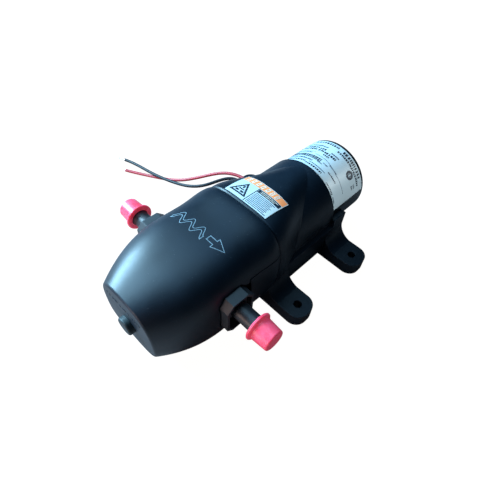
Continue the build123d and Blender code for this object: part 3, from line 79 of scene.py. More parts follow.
class Shader:
    """Small wrapper that keeps node building readable."""

    def __init__(self, name):
        self.material = bpy.data.materials.new(name)
        self.material.use_nodes = True
        self.tree = self.material.node_tree
        self.tree.nodes.clear()
        self.output = self.tree.nodes.new("ShaderNodeOutputMaterial")
        self.surface = self.add("ShaderNodeBsdfPrincipled")
        self.join(self.surface, "BSDF", self.output, "Surface")

    def add(self, kind, **inputs):
        node = self.tree.nodes.new(kind)
        for key, value in inputs.items():
            node.inputs[key.replace("_", " ")].default_value = value
        return node

    def join(self, source, out, target, into):
        self.tree.links.new(source.outputs[out], target.inputs[into])

    def place(self):
        """Object coordinates, in metres."""
        return self.add("ShaderNodeTexCoord")

    def noise(self, coordinates, per_metre, detail=2.0, roughness=0.5):
        node = self.add("ShaderNodeTexNoise", Scale=per_metre, Detail=detail, Roughness=roughness)
        self.join(coordinates, "Object", node, "Vector")
        return node

    def ramp(self, source, out, low, high, start=0.0, stop=1.0):
        """Maps a value onto a range of values or colours."""
        node = self.tree.nodes.new("ShaderNodeMapRange")
        node.inputs["From Min"].default_value = start
        node.inputs["From Max"].default_value = stop
        node.inputs["To Min"].default_value = low
        node.inputs["To Max"].default_value = high
        self.join(source, out, node, "Value")
        return node

    def mix(self, factor, out, first, second):
        node = self.tree.nodes.new("ShaderNodeMix")
        node.data_type = "RGBA"
        node.inputs[MIX_A].default_value = (*first, 1.0)
        node.inputs[MIX_B].default_value = (*second, 1.0)
        self.tree.links.new(factor.outputs[out], node.inputs[0])
        return node

    def bump(self, source, out, depth, strength=1.0, normal=None):
        node = self.add("ShaderNodeBump", Strength=strength, Distance=depth)
        self.join(source, out, node, "Height")
        if normal is not None:
            self.join(normal, "Normal", node, "Normal")
        return node

    def soften(self, radius):
        """Rounds sharp edges in the shading, as a moulding's small edge radii do."""
        node = self.add("ShaderNodeBevel", Radius=radius)
        node.samples = BEVEL_SAMPLES
        return node

    def maths(self, operation, first, out, second=None, into=None, value=0.0):
        node = self.tree.nodes.new("ShaderNodeMath")
        node.operation = operation
        node.inputs[1].default_value = value
        self.tree.links.new(first.outputs[out], node.inputs[0])
        if second is not None:
            self.tree.links.new(second.outputs[into], node.inputs[1])
        return node

    def edges(self, softened, cloud):
        """How much wear and painted edge highlight each point takes: sharp edges, broken up by the
        cloud.
        """
        flat = self.add("ShaderNodeNewGeometry")
        turn = self.tree.nodes.new("ShaderNodeVectorMath")
        turn.operation = "DOT_PRODUCT"
        self.tree.links.new(softened.outputs["Normal"], turn.inputs[0])
        self.tree.links.new(flat.outputs["Normal"], turn.inputs[1])
        sharp = self.ramp(turn, "Value", 1.0, 0.0, *SHARP_EDGE)
        patches = self.ramp(cloud, "Fac", 0.0, 1.0, *WEAR_AND_SHEEN_PATCHES)
        return self.maths("MULTIPLY", sharp, "Result", patches, "Result")

    def over(self, base, factor, out, colour):
        """Lays a colour over a mixed colour."""
        node = self.mix(factor, out, colour, colour)
        self.tree.links.new(base.outputs[MIX_OUT], node.inputs[MIX_A])
        return node

    def tone(self, shade, into="Base Color"):
        """Gives the surface a mixed colour."""
        self.tree.links.new(shade.outputs[MIX_OUT], self.surface.inputs[into])


def plastic(name, colour, roughness, grain=2600.0, depth=0.000012, edge=0.0004, specular=0.5,
            tint=(1.6, 1.6, 1.6), wear_and_sheen=(0.10, 0.12, 0.14), dust=0.0):
    """Moulded plastic: fine grain, drifting gloss, edges lightened by wear and a painted edge
    highlight, and a few specks of dust.
    """
    s = Shader(name)
    where = s.place()
    cloud = s.noise(where, per_metre=55.0, detail=3.0)
    fine = s.noise(where, grain, detail=2.0)
    softened = s.soften(edge)
    paler = tuple(min(1.0, c * t) for c, t in zip(colour, tint))
    shade = s.mix(s.ramp(cloud, "Fac", 0.0, 1.0, *PALER_PATCHES), "Result", colour, paler)
    edges = s.edges(softened, s.noise(where, per_metre=420.0, detail=3.0))
    # Sharp edges turn lighter: partly wear, partly a painted edge highlight.
    wear_and_sheen_mask = s.maths("MULTIPLY", edges, "Value", value=WEAR_AND_SHEEN_SHARE)
    shade = s.over(shade, wear_and_sheen_mask, "Value", wear_and_sheen)
    if dust:
        speckle = s.noise(where, per_metre=1900.0, detail=1.0)
        specks = s.ramp(speckle, "Fac", 0.0, dust, *DUST_SPECKS)
        shade = s.over(shade, specks, "Result", DUST_COLOUR)
    s.tone(shade)
    s.join(s.ramp(cloud, "Fac", roughness - 0.04, roughness + 0.05, *DRIFT), "Result",
           s.surface, "Roughness")
    s.join(s.bump(fine, "Fac", depth, strength=0.8, normal=softened), "Normal",
           s.surface, "Normal")
    s.surface.inputs["Specular IOR Level"].default_value = specular
    return s.material


def metal(name, colour, roughness, brush=(40.0, 900.0, 40.0), depth=0.000008, edge=0.0002):
    """Turned or drawn metal: fine directional lines and a drifting tone."""
    s = Shader(name)
    where = s.place()
    stretch = s.add("ShaderNodeMapping")
    stretch.inputs["Scale"].default_value = brush
    s.join(where, "Object", stretch, "Vector")
    lines = s.add("ShaderNodeTexNoise", Scale=8.0, Detail=3.0)
    s.join(stretch, "Vector", lines, "Vector")
    cloud = s.noise(where, per_metre=120.0, detail=2.0)
    darker = tuple(c * DARKER_METAL for c in colour)
    shade = s.mix(cloud, "Fac", darker, colour)
    s.tone(shade)
    s.surface.inputs["Metallic"].default_value = 1.0
    s.join(s.ramp(lines, "Fac", roughness - 0.08, roughness + 0.08, *DRIFT), "Result",
           s.surface, "Roughness")
    s.join(s.bump(lines, "Fac", depth, strength=0.6, normal=s.soften(edge)), "Normal",
           s.surface, "Normal")
    return s.material


def rubber(name, colour, roughness=0.6):
    return plastic(name, colour, roughness, grain=1800.0, depth=0.00003, edge=0.0003,
                   specular=0.35, tint=(1.5, 1.5, 1.5))


def vinyl(name, colour, deep, roughness, glow=0.0):
    """Soft translucent vinyl with a faint darker tone that drifts at random."""
    s = Shader(name)
    where = s.place()
    cloud = s.noise(where, per_metre=160.0, detail=3.0)
    shade = s.mix(s.ramp(cloud, "Fac", 0.0, 1.0, *DRIFT), "Result", deep, colour)
    s.tone(shade)
    s.surface.inputs["Subsurface Weight"].default_value = 0.35
    s.surface.inputs["Subsurface Radius"].default_value = VINYL_SCATTER
    s.surface.inputs["Subsurface Scale"].default_value = 1.0
    # Painted glow: the colour is also given off as light, standing in for light that shines through
    # the vinyl.
    s.tone(shade, "Emission Color")
    s.surface.inputs["Emission Strength"].default_value = glow
    s.join(s.ramp(cloud, "Fac", roughness - 0.05, roughness + 0.06, *DRIFT), "Result",
           s.surface, "Roughness")
    fine = s.noise(where, per_metre=700.0, detail=2.0)
    s.join(s.bump(fine, "Fac", depth=0.00003, strength=0.5), "Normal", s.surface, "Normal")
    return s.material


def film(name, colour, roughness=0.38):
    """Printed label stock: nearly even, with a faint mottle and a soft sheen."""
    s = Shader(name)
    where = s.place()
    cloud = s.noise(where, per_metre=90.0, detail=4.0)
    duller = tuple(c * DULLER_FILM for c in colour)
    shade = s.mix(s.ramp(cloud, "Fac", 0.0, 1.0, *DRIFT), "Result", duller, colour)
    s.tone(shade)
    s.surface.inputs["Roughness"].default_value = roughness
    s.surface.inputs["Specular IOR Level"].default_value = 0.45
    ripple = s.noise(where, per_metre=260.0, detail=2.0)
    s.join(s.bump(ripple, "Fac", depth=0.00004, strength=0.35), "Normal", s.surface, "Normal")
    return s.material


MATERIALS = {
    # The lighter edge colours of the plastics are partly wear, partly a painted edge highlight.
    "black_plastic": plastic("black_plastic", (0.0022, 0.0066, 0.013), 0.43, depth=0.00002,
                             dust=0.4, specular=0.36, wear_and_sheen=(0.05, 0.07, 0.09)),
    "black_rubber": rubber("black_rubber", (0.012, 0.019, 0.022), 0.5),
    "pump_plastic": plastic("pump_plastic", (0.02, 0.022, 0.026), 0.42),
    "valve_rubber": rubber("valve_rubber", (0.02, 0.02, 0.022)),
    # The red vinyl's last number is the strength of a painted glow.
    "red_vinyl": vinyl("red_vinyl", (0.96, 0.10, 0.18), (0.90, 0.05, 0.10), 0.36, 0.24),
    "black_paint": plastic("black_paint", (0.014, 0.014, 0.015), 0.36, grain=1500.0, edge=0.0006),
    # The film's blue cast is a painted tint of cool sky light on a white label.
    "label_film": film("label_film", (0.44, 0.53, 0.575)),
    "steel": metal("steel", (0.62, 0.62, 0.64), 0.3),
    "zinc_screw": metal("zinc_screw", (0.66, 0.67, 0.69), 0.35),
    "lamination": metal("lamination", (0.25, 0.25, 0.27), 0.5, (30.0, 4000.0, 30.0)),
    "copper": metal("copper", (0.72, 0.33, 0.16), 0.35),
    "bronze": metal("bronze", (0.6, 0.42, 0.22), 0.5),
    "brass": metal("brass", (0.8, 0.6, 0.26), 0.3),
    "magnet": plastic("magnet", (0.05, 0.05, 0.055), 0.6),
    "carbon": plastic("carbon", (0.03, 0.03, 0.032), 0.5),
    "phenolic": plastic("phenolic", (0.16, 0.07, 0.03), 0.45),
    "red_insulation": vinyl("red_insulation", (0.46, 0.022, 0.04), (0.30, 0.008, 0.015), 0.52),
    "black_insulation": plastic("black_insulation", (0.008, 0.010, 0.014), 0.5, specular=0.2),
    "tinned_copper": metal("tinned_copper", (0.74, 0.72, 0.68), 0.3),
}


def dress_nodes():
    """Gives every CAD node the full material of its slot."""
    for entry in frame["record"]["subparts"]:
        node = frame["nodes"][entry["node"]]
        node.data.materials.clear()
        node.data.materials.append(MATERIALS[entry["material_slot"]])
        for polygon in node.data.polygons:
            polygon.material_index = 0


dress_nodes()


# ---- prints and raised marks --------------------------------------------------------------------
# The lighter edge colours of the inks are partly wear, partly a painted edge highlight.
INK = plastic("ink", (0.005, 0.011, 0.022), 0.5, grain=5000.0, depth=0.000004, edge=0.00002,
              specular=0.3, tint=(2.4, 2.2, 2.0), wear_and_sheen=(0.02, 0.04, 0.07))
FAINT_INK = plastic("faint_ink", (0.035, 0.06, 0.095), 0.5, grain=5000.0, depth=0.000004,
                    edge=0.00002, specular=0.3, tint=(1.6, 1.5, 1.4), wear_and_sheen=(0.07, 0.11, 0.15))
ORANGE_INK = film("orange_ink", (0.80, 0.27, 0.10), 0.4)
PALE_INK = film("pale_ink", (0.80, 0.66, 0.55), 0.4)
RAISED = plastic("raised_marks", (0.13, 0.18, 0.22), 0.5, grain=3000.0, depth=0.00001,
                 edge=0.0001, tint=(1.5, 1.45, 1.4))
PRINT = 0.045 * MM
SINK = 0.02 * MM
STRIDE = 0.6 * MM           # longest step along a stroke
LANE = 0.6 * MM             # widest step across a stroke
MITRE_LEAST = 0.45          # limits how far a stroke reaches out at a sharp corner
OUTSIDE = 300 * MM          # where the rays that find a surface start
DASH_SHARE = (0.45, 1.0)    # of the longest dash
GAP_SHARE = (0.18, 0.42)    # of the dash's height
SHORTEST = 0.4              # no dash starts closer to its row's end, in millimetres
STRIPE_WIDE, STRIPE_GAP = (0.25, 0.8), (0.2, 0.5)


def curved(node, direction):
    """Maps (u, v) in millimetres onto a node's outside, looked at along an axis direction."""
    mesh = frame["nodes"][node].data
    tree = BVHTree.FromPolygons([v.co for v in mesh.vertices], [p.vertices for p in mesh.polygons])
    down = Vector(direction)

    def place(u, v, height):
        flat = Vector((u, v, 0.0)) if down.z else Vector((u, 0.0, v))
        spot, normal, _, _ = tree.ray_cast(flat * MM - down * OUTSIDE, down)
        if normal.dot(down) > 0:
            normal = -normal
        return spot + normal * height

    return place


def round_can():
    """Maps (arc length from the top, station) in millimetres onto the motor label."""
    low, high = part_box("motor_can")
    axis_z = (low.z + high.z) / 2
    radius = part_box("motor_label")[1].z - axis_z

    def place(u, v, height):
        angle = u * MM / radius
        reach = radius + height
        return Vector((reach * math.sin(angle), v * MM, axis_z + reach * math.cos(angle)))

    return place


class Print:
    """Thin closed strokes that follow a surface, gathered into one piece."""

    def __init__(self, name, place, material, lift=PRINT, sink=SINK):
        self.name, self.place, self.material = name, place, material
        self.lift, self.sink = lift, sink
        self.corners, self.faces = [], []

    def stroke(self, points, width, closed=False):
        """A flat stroke along a polyline in the surface's own millimetres."""
        path = self.spaced(points, closed)
        count = len(path)
        base = len(self.corners)
        lanes = max(1, math.ceil(width * MM / LANE))
        section = 2 * (lanes + 1)
        for index, spot in enumerate(path):
            before = path[index - 1] if index or closed else spot
            after = path[(index + 1) % count] if index < count - 1 or closed else spot
            arrive, leave = (spot - before), (after - spot)
            arrive = arrive.normalized() if arrive.length else leave.normalized()
            leave = leave.normalized() if leave.length else arrive
            side = Vector((-(arrive + leave).y, (arrive + leave).x)).normalized()
            mitre = side.dot(Vector((-leave.y, leave.x)))
            side *= width / 2 / max(mitre, MITRE_LEAST)
            shares = [1 - 2 * lane / lanes for lane in range(lanes + 1)]
            for share in shares:
                self.corners.append(self.place(*(spot + side * share), self.lift))
            for share in reversed(shares):
                self.corners.append(self.place(*(spot + side * share), -self.sink))
        for index in range(count if closed else count - 1):
            here, there = base + section * index, base + section * ((index + 1) % count)
            for k in range(section):
                nxt = (k + 1) % section
                self.faces.append((here + k, here + nxt, there + nxt, there + k))
        if not closed:
            last = base + section * (count - 1)
            for k in range(lanes):
                low = section - 1 - k
                self.faces.append((base + k, base + low, base + low - 1, base + k + 1))
                self.faces.append((last + k, last + k + 1, last + low - 1, last + low))

    @staticmethod
    def spaced(points, closed):
        """The polyline with points added, so that it can follow a curved surface."""
        corners = [Vector(p) for p in points]
        ends = corners[1:] + corners[:1] if closed else corners[1:]
        path = []
        for start, end in zip(corners, ends):
            steps = max(1, math.ceil((end - start).length * MM / STRIDE))
            path += [start.lerp(end, step / steps) for step in range(steps)]
        return path if closed else path + [corners[-1]]

    def ring(self, centre, radius, width, sides=28):
        turns = [2 * math.pi * k / sides for k in range(sides)]
        self.stroke([(centre[0] + radius * math.cos(t), centre[1] + radius * math.sin(t))
                     for t in turns], width, closed=True)

    def row(self, start, end, level, height, longest, rng):
        """A row of plain dashes of uneven length, with a gap after each."""
        u = start
        while u < end - SHORTEST:
            length = min(end - u, rng.uniform(*DASH_SHARE) * longest)
            self.stroke([(u, level), (u + length, level)], height)
            u += length + height * rng.uniform(*GAP_SHARE)

    def stripes(self, start, end, low, high, rng):
        """A group of plain upright stripes of uneven width."""
        u = start
        while u < end:
            width = rng.uniform(*STRIPE_WIDE)
            self.stroke([(u + width / 2, low), (u + width / 2, high)], width)
            u += width + rng.uniform(*STRIPE_GAP)

    def piece(self, body):
        mesh = bpy.data.meshes.new(self.name)
        mesh.from_pydata(self.corners, [], self.faces)
        mesh.materials.append(self.material)
        bm = bmesh.new()
        bm.from_mesh(mesh)
        bmesh.ops.recalc_face_normals(bm, faces=bm.faces)
        bm.to_mesh(mesh)
        bm.free()
        made = bpy.data.objects.new(self.name, mesh)
        bpy.context.scene.collection.objects.link(made)
        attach(made, body)
        return made


# Rows of dashes on the motor label: start, end, station, height of a dash and longest dash, in
# millimetres. Start and end are arc lengths from the top of the can.
STRONG_ROWS = (
    (-9.0, 2.4, 55.8, 1.9, 1.7), (6.4, 26.4, 55.5, 2.3, 1.7), (3.4, 30.6, 52.7, 1.6, 1.3),
    (-16.8, -7.4, 48.2, 1.7, 1.7), (-17.2, -8.0, 45.7, 1.7, 1.7), (-6.6, -2.4, 48.0, 1.7, 1.6),
    (-6.6, -2.4, 45.6, 1.7, 1.6), (-1.6, 8.4, 45.4, 1.9, 1.5), (-0.8, 4.4, 43.0, 1.4, 1.2),
    (-28.0, -5.0, 30.2, 1.4, 1.6), (-4.2, 8.8, 29.2, 1.4, 1.4), (11.0, 19.8, 34.0, 0.95, 1.0),
    (15.4, 23.8, 27.9, 0.95, 1.0), (27.6, 30.4, 49.0, 1.3, 0.9), (27.6, 30.4, 46.7, 1.3, 0.9),
)
FAINT_ROWS = (
    (-16.0, -9.8, 55.6, 1.9, 2.2), (-20.0, -3.0, 51.0, 1.3, 1.8), (-28.0, -18.0, 46.8, 2.0, 2.2),
    (2.0, 8.8, 47.9, 1.0, 1.2), (-28.0, -8.0, 40.9, 1.1, 2.0), (-27.0, -2.0, 33.2, 1.3, 1.8),
    (-3.0, 10.0, 31.3, 0.6, 1.2), (0.6, 4.4, 35.0, 0.8, 0.9), (8.0, 15.4, 38.6, 0.6, 1.0),
    (25.6, 30.2, 27.8, 0.7, 1.2), (4.0, 8.4, 36.6, 0.7, 1.0),
)
STRIPE_BLOCK = (-24.0, 2.2, 35.2, 38.6)     # start, end, low and high station
RULES = (((-5.6, 40.4), (3.4, 40.2), (15.0, 38.0), (28.2, 37.4)), ((-30.0, 42.6), (-6.0, 42.4)))
RULE_WIDE = 0.3
BADGE = (20.6, 48.2)
BADGE_R, BADGE_RING = 2.25, 1.7
BADGE_BAR, BADGE_BAR_HALF, BADGE_BAR_SIDE = 0.6, 1.0, 0.75


def motor_label_print():
    """Rows of plain dashes, a striped block, a badge and a thin rule, in two strengths of ink."""
    rng = random.Random(11)
    can = round_can()
    strong = Print("label_marks", can, INK)
    faint = Print("label_fine_marks", can, FAINT_INK)
    for row in STRONG_ROWS:
        strong.row(*row, rng)
    for row in FAINT_ROWS:
        faint.row(*row, rng)
    strong.stripes(*STRIPE_BLOCK, rng)
    for rule in RULES:
        faint.stroke(rule, RULE_WIDE)
    strong.ring(BADGE, BADGE_R, BADGE_RING)
    for shift in (-BADGE_BAR_SIDE, BADGE_BAR_SIDE):
        u = BADGE[0] + shift
        strong.stroke([(u, BADGE[1] - BADGE_BAR_HALF), (u, BADGE[1] + BADGE_BAR_HALF)], BADGE_BAR)
    strong.piece("housing")
    faint.piece("housing")


# The sticker on the sleeve, in millimetres: margin, orange band, divider and dark strip.
STICKER_EDGE = 0.35
BAND_DEEP = 4.6
BAND_MARK = ((-0.95, -1.3), (0.35, -1.3), (0.95, 1.3), (-0.35, 1.3))
BAND_MARK_LINE, BAND_MARK_PITCH, BAND_MARK_END = 0.62, 3.5, 3.4
TRIANGLE = ((-8.5, -16.9), (-3.4, -25.9), (-13.6, -25.9))
TRIANGLE_LINE = 1.05
TRIANGLE_BARS = (      # two ends and a width
    ((-8.5, -19.4), (-8.5, -21.3), 1.3), ((-10.4, -22.4), (-6.6, -22.4), 0.8),
    ((-11.4, -24.2), (-9.0, -24.2), 1.3), ((-8.0, -24.2), (-5.6, -24.2), 1.3),
)
DIVIDER_X, DIVIDER_LINE = -1.7, 0.5
STRIP_DROP, STRIP_DEEP = 1.8, 2.9
STRIP_LEFT, STRIP_RIGHT = 0.5, 0.3          # gaps to the divider and to the sticker's edge
STRIP_ROWS = ((1.6, 0.55), (4.0, -0.6))     # gap at the right end, and height above the middle
STRIP_INSET, STRIP_DASH, STRIP_LONGEST = 2.4, 0.42, 1.2
FINE_DROP, FINE_PITCH, FINE_DASH, FINE_LONGEST = 2.5, 1.1, 0.5, 1.3
FINE_LEFT, FINE_LAST, FINE_RAGGED = 1.0, 0.6, (1.0, 3.0)


def sticker_print():
    """Orange band, a plain triangle, a dark strip and rows of plain dashes on the upper sticker."""
    rng = random.Random(5)
    sticker = curved("caution_label", (0, 0, -1))
    low, high = (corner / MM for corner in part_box("caution_label"))
    left, right = low.x + STICKER_EDGE, high.x - STICKER_EDGE
    rear, front = high.y - STICKER_EDGE, low.y + STICKER_EDGE
    band = rear - BAND_DEEP
    band_middle = (band + rear) / 2
    orange = Print("sticker_band", sticker, ORANGE_INK)
    orange.stroke([(left, band_middle), (right, band_middle)], rear - band)
    orange.piece("housing")
    pale = Print("sticker_band_marks", sticker, PALE_INK, lift=2 * PRINT)
    u = left + BAND_MARK_END
    while u < right - BAND_MARK_END:
        pale.stroke([(u + x, band_middle + y) for x, y in BAND_MARK], BAND_MARK_LINE, closed=True)
        u += BAND_MARK_PITCH
    pale.piece("housing")
    ink = Print("sticker_marks", sticker, INK)
    ink.stroke(TRIANGLE, TRIANGLE_LINE, closed=True)
    for start, end, width in TRIANGLE_BARS:
        ink.stroke([start, end], width)
    ink.stroke([(DIVIDER_X, band), (DIVIDER_X, front)], DIVIDER_LINE)
    strip = band - STRIP_DROP
    ink.stroke([(DIVIDER_X + STRIP_LEFT, strip), (right - STRIP_RIGHT, strip)], STRIP_DEEP)
    ink.piece("housing")
    light = Print("sticker_strip_marks", sticker, PALE_INK, lift=2 * PRINT)
    for gap, above in STRIP_ROWS:
        light.row(DIVIDER_X + STRIP_INSET, right - gap, strip + above, STRIP_DASH, STRIP_LONGEST,
                  rng)
    light.piece("housing")
    fine = Print("sticker_rows", sticker, FAINT_INK)
    level = strip - FINE_DROP
    while level > front + FINE_LAST:
        end = right - rng.uniform(*FINE_RAGGED)
        fine.row(DIVIDER_X + FINE_LEFT, end, level, FINE_DASH, FINE_LONGEST, rng)
        level -= FINE_PITCH
    fine.piece("housing")


# Raised marks, in millimetres: the wavy band, the arrow and the ticks on the nose face.
MARK_LIFT, TICK_LIFT, MARK_SINK = 0.09 * MM, 0.15 * MM, 0.05 * MM
WAVE_START, WAVE_END, WAVE_Y = -19.6, 3.4, -59.6
WAVE_CRESTS, WAVE_HALF, WAVE_BAND = 3, 2.3, 1.25
ARROW_TAIL, ARROW_NECK, ARROW_TIP, ARROW_Y = 5.6, 10.4, 17.3, -59.1
ARROW_SHAFT, ARROW_HEAD = 1.5, 3.4
WAVE_LINE, ARROW_LINE = 0.4, 0.42
WAVE_STEPS = 16             # points on each crest
TICKS_HALF, TICKS_Z = 14.5, 40.4
TICK_HIGH, TICK_WIDE, TICK_PITCH, TICK_DRIFT = (1.2, 2.4), (0.5, 0.95), (1.2, 3.0), 0.5


def cover_marks():
    """Raised outlines on the cover: a plain wavy band and an arrow that shows the flow."""
    marks = Print("flow_marks", curved("nose_cover", (0, 0, -1)), RAISED, lift=MARK_LIFT,
                  sink=MARK_SINK)
    count = WAVE_STEPS * WAVE_CRESTS
    wave = [(WAVE_START + (WAVE_END - WAVE_START) * k / count,
             WAVE_Y - WAVE_HALF * math.cos(2 * math.pi * WAVE_CRESTS * k / count))
            for k in range(count + 1)]
    upper = [(u, v + WAVE_BAND) for u, v in wave]
    lower = [(u, v - WAVE_BAND) for u, v in reversed(wave)]
    marks.stroke(upper + lower, WAVE_LINE, closed=True)
    half = [(ARROW_TAIL, ARROW_SHAFT), (ARROW_NECK, ARROW_SHAFT), (ARROW_NECK, ARROW_HEAD)]
    arrow = [(u, ARROW_Y + v) for u, v in half] + [(ARROW_TIP, ARROW_Y)]
    arrow += [(u, ARROW_Y - v) for u, v in reversed(half)]
    marks.stroke(arrow, ARROW_LINE, closed=True)
    marks.piece("housing")


def face_marks():
    """A broken row of small raised ticks on the front face, above the plug."""
    rng = random.Random(3)
    ticks = Print("face_ticks", curved("nose_cover", (0, 1, 0)), INK, lift=TICK_LIFT,
                  sink=MARK_SINK)
    u = -TICKS_HALF
    while u < TICKS_HALF:
        height = rng.uniform(*TICK_HIGH)
        middle = TICKS_Z + rng.uniform(-TICK_DRIFT, TICK_DRIFT)
        ends = [(u, middle - height / 2), (u, middle + height / 2)]
        ticks.stroke(ends, rng.uniform(*TICK_WIDE))
        u += rng.uniform(*TICK_PITCH)
    ticks.piece("housing")


def cylinder_axis(mesh, keep):
    """(start, end) of the axis of a cylinder made by the polygons that keep() picks."""
    picked = [p for p in mesh.polygons if keep(p.center)]
    spread = sum(p.area * np.outer(p.normal, p.normal) for p in picked)
    values, vectors = np.linalg.eigh(spread)
    odd = 0 if values[1] - values[0] > values[2] - values[1] else 2
    axis = Vector(vectors[:, odd])
    if axis.x > 0:
        axis.negate()
    spots = [mesh.vertices[i].co for p in picked for i in p.vertices]
    middle = sum(spots, Vector()) / len(spots)
    reach = max(abs((spot - middle).dot(axis)) for spot in spots)
    return middle - axis * reach, middle + axis * reach


def tube(corners, faces, path, radius, hint, sides=8):
    """Adds a closed round tube along a path; hint is a direction that the path never takes."""
    base = len(corners)
    for index, spot in enumerate(path):
        along = path[min(index + 1, len(path) - 1)] - path[max(index - 1, 0)]
        across = along.cross(hint).normalized()
        up = across.cross(along).normalized()
        for side in range(sides):
            lean = 2 * math.pi * side / sides
            corners.append(spot + (across * math.cos(lean) + up * math.sin(lean)) * radius)
    for step in range(len(path) - 1):
        for side in range(sides):
            here, there = base + step * sides, base + (step + 1) * sides
            nxt = (side + 1) % sides
            faces.append((here + side, here + nxt, there + nxt, there + side))
    last = base + (len(path) - 1) * sides
    faces.append(tuple(base + k for k in reversed(range(sides))))
    faces.append(tuple(last + k for k in range(sides)))


def tubes_piece(name, corners, faces, material):
    mesh = bpy.data.meshes.new(name)
    mesh.from_pydata(corners, [], faces)
    mesh.materials.append(MATERIALS[material])
    for polygon in mesh.polygons:
        polygon.use_smooth = len(polygon.vertices) == 4
    made = bpy.data.objects.new(name, mesh)
    bpy.context.scene.collection.objects.link(made)
    return made


# Six strands twisted round a seventh, at the end of each lead.
STRANDS = 7
STRAND_R, STRAND_CIRCLE_R, STRAND_PITCH, STRAND_STEP = 0.21 * MM, 0.43 * MM, 7.0 * MM, 0.3 * MM
STRAND_SHARE = (0.9, 1.0)   # of the bare length


def strands():
    """Twisted bare copper at the end of each lead, in place of the plain tips."""
    rng = random.Random(7)
    mesh = frame["nodes"]["lead_tips"].data
    low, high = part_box("lead_tips")
    middle = (low.x + high.x) / 2
    corners, faces = [], []
    for keep in (lambda c: c.x < middle, lambda c: c.x >= middle):
        start, end = cylinder_axis(mesh, keep)
        along = (end - start).normalized()
        across = along.cross(Vector((0, 0, 1))).normalized()
        up = across.cross(along)
        for strand in range(STRANDS):
            length = (end - start).length * rng.uniform(*STRAND_SHARE)
            offset = STRAND_CIRCLE_R if strand else 0.0
            steps = max(2, round(length / STRAND_STEP))
            path = []
            for step in range(steps + 1):
                run = length * step / steps
                turn = 2 * math.pi * (strand / (STRANDS - 1) + run / STRAND_PITCH)
                path.append(start + along * run
                            + (across * math.cos(turn) + up * math.sin(turn)) * offset)
            tube(corners, faces, path, STRAND_R, Vector((0, 0, 1)))
    made = tubes_piece("wire_strands", corners, faces, "tinned_copper")
    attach(made, "housing")
    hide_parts("lead_tips")


SPRING_WIRE_R = 0.45 * MM
SPRING_TURNS = 5.0
SPRING_STEP = math.radians(15)


def spring_halves():
    """The pressure spring as two coils that meet halfway."""
    low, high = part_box("pressure_spring")
    coil_r = (high.x - low.x) / 2 - SPRING_WIRE_R
    axis_z = (low.z + high.z) / 2
    middle = (low.y + high.y) / 2
    reach = (high.y - low.y) / 2 - SPRING_WIRE_R
    for name, sign, moving in (("spring_rear", 1, "plunger"), ("spring_front", -1, "seat")):
        steps = round(math.pi * SPRING_TURNS / SPRING_STEP)
        path = []
        for step in range(steps + 1):
            turn = sign * step * SPRING_STEP
            path.append(Vector((coil_r * math.cos(turn), middle + sign * reach * step / steps,
                                axis_z + coil_r * math.sin(turn))))
        corners, faces = [], []
        tube(corners, faces, path, SPRING_WIRE_R, Vector((0, 1, 0)))
        made = tubes_piece(name, corners, faces, "steel")
        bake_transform(made)
        if sign > 0:
            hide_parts("pressure_spring")


def cut_copy(node, name, operation, cutters):
    """A copy of a CAD node's mesh, cut by closed shapes."""
    made = bpy.data.objects.new(name, frame["nodes"][node].data.copy())
    made.matrix_world = frame["nodes"][node].matrix_world
    bpy.context.scene.collection.objects.link(made)
    boolean = made.modifiers.new("cut", "BOOLEAN")
    boolean.operation, boolean.solver, boolean.object = operation, "EXACT", cutters
    graph = bpy.context.evaluated_depsgraph_get()
    mesh = bpy.data.meshes.new_from_object(made.evaluated_get(graph))
    made.modifiers.clear()
    made.data = mesh
    return made


def round_cutters(radius, spots, length=20.0 * MM, sides=72):
    """Closed cylinders along the pump's length, in one object."""
    bm = bmesh.new()
    for x, y, z in spots:
        turn = Matrix.Rotation(math.radians(90), 4, "X")
        bmesh.ops.create_cone(bm, cap_ends=True, segments=sides, radius1=radius, radius2=radius,
                              depth=length, matrix=Matrix.Translation((x, y, z)) @ turn)
    mesh = bpy.data.meshes.new("cutters")
    bm.to_mesh(mesh)
    bm.free()
    made = bpy.data.objects.new("cutters", mesh)
    bpy.context.scene.collection.objects.link(made)
    return made


OPENING_R = 8.9 * MM        # in the clamped sheet
LOBE_RIM = 0.9 * MM         # rubber that shows round each piston disc


def diaphragm_parts():
    """The diaphragm split at its flexing ring: the clamped sheet stays, the lobes wobble."""
    low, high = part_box("piston_discs")
    axis_z = (low.z + high.z) / 2
    disc_r = (high.z - low.z) / 2
    middle_y = (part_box("diaphragm")[0].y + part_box("diaphragm")[1].y) / 2
    lobe_x = (low.x + disc_r, high.x - disc_r)
    opening_x = (lobe_x[1] - lobe_x[0]) / 2
    opening = round_cutters(OPENING_R, [(x, middle_y, axis_z) for x in (-opening_x, opening_x)])
    sheet = cut_copy("diaphragm", "diaphragm_sheet", "DIFFERENCE", opening)
    lobe = round_cutters(disc_r + LOBE_RIM, [(x, middle_y, axis_z) for x in lobe_x])
    lobes = cut_copy("diaphragm", "diaphragm_lobes", "INTERSECT", lobe)
    for cutter in (opening, lobe):
        bpy.data.objects.remove(cutter)
    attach(sheet, "housing")
    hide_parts("diaphragm")
    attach(lobes, "wobbler")


spring_halves()
diaphragm_parts()
motor_label_print()
sticker_print()
cover_marks()
face_marks()
strands()


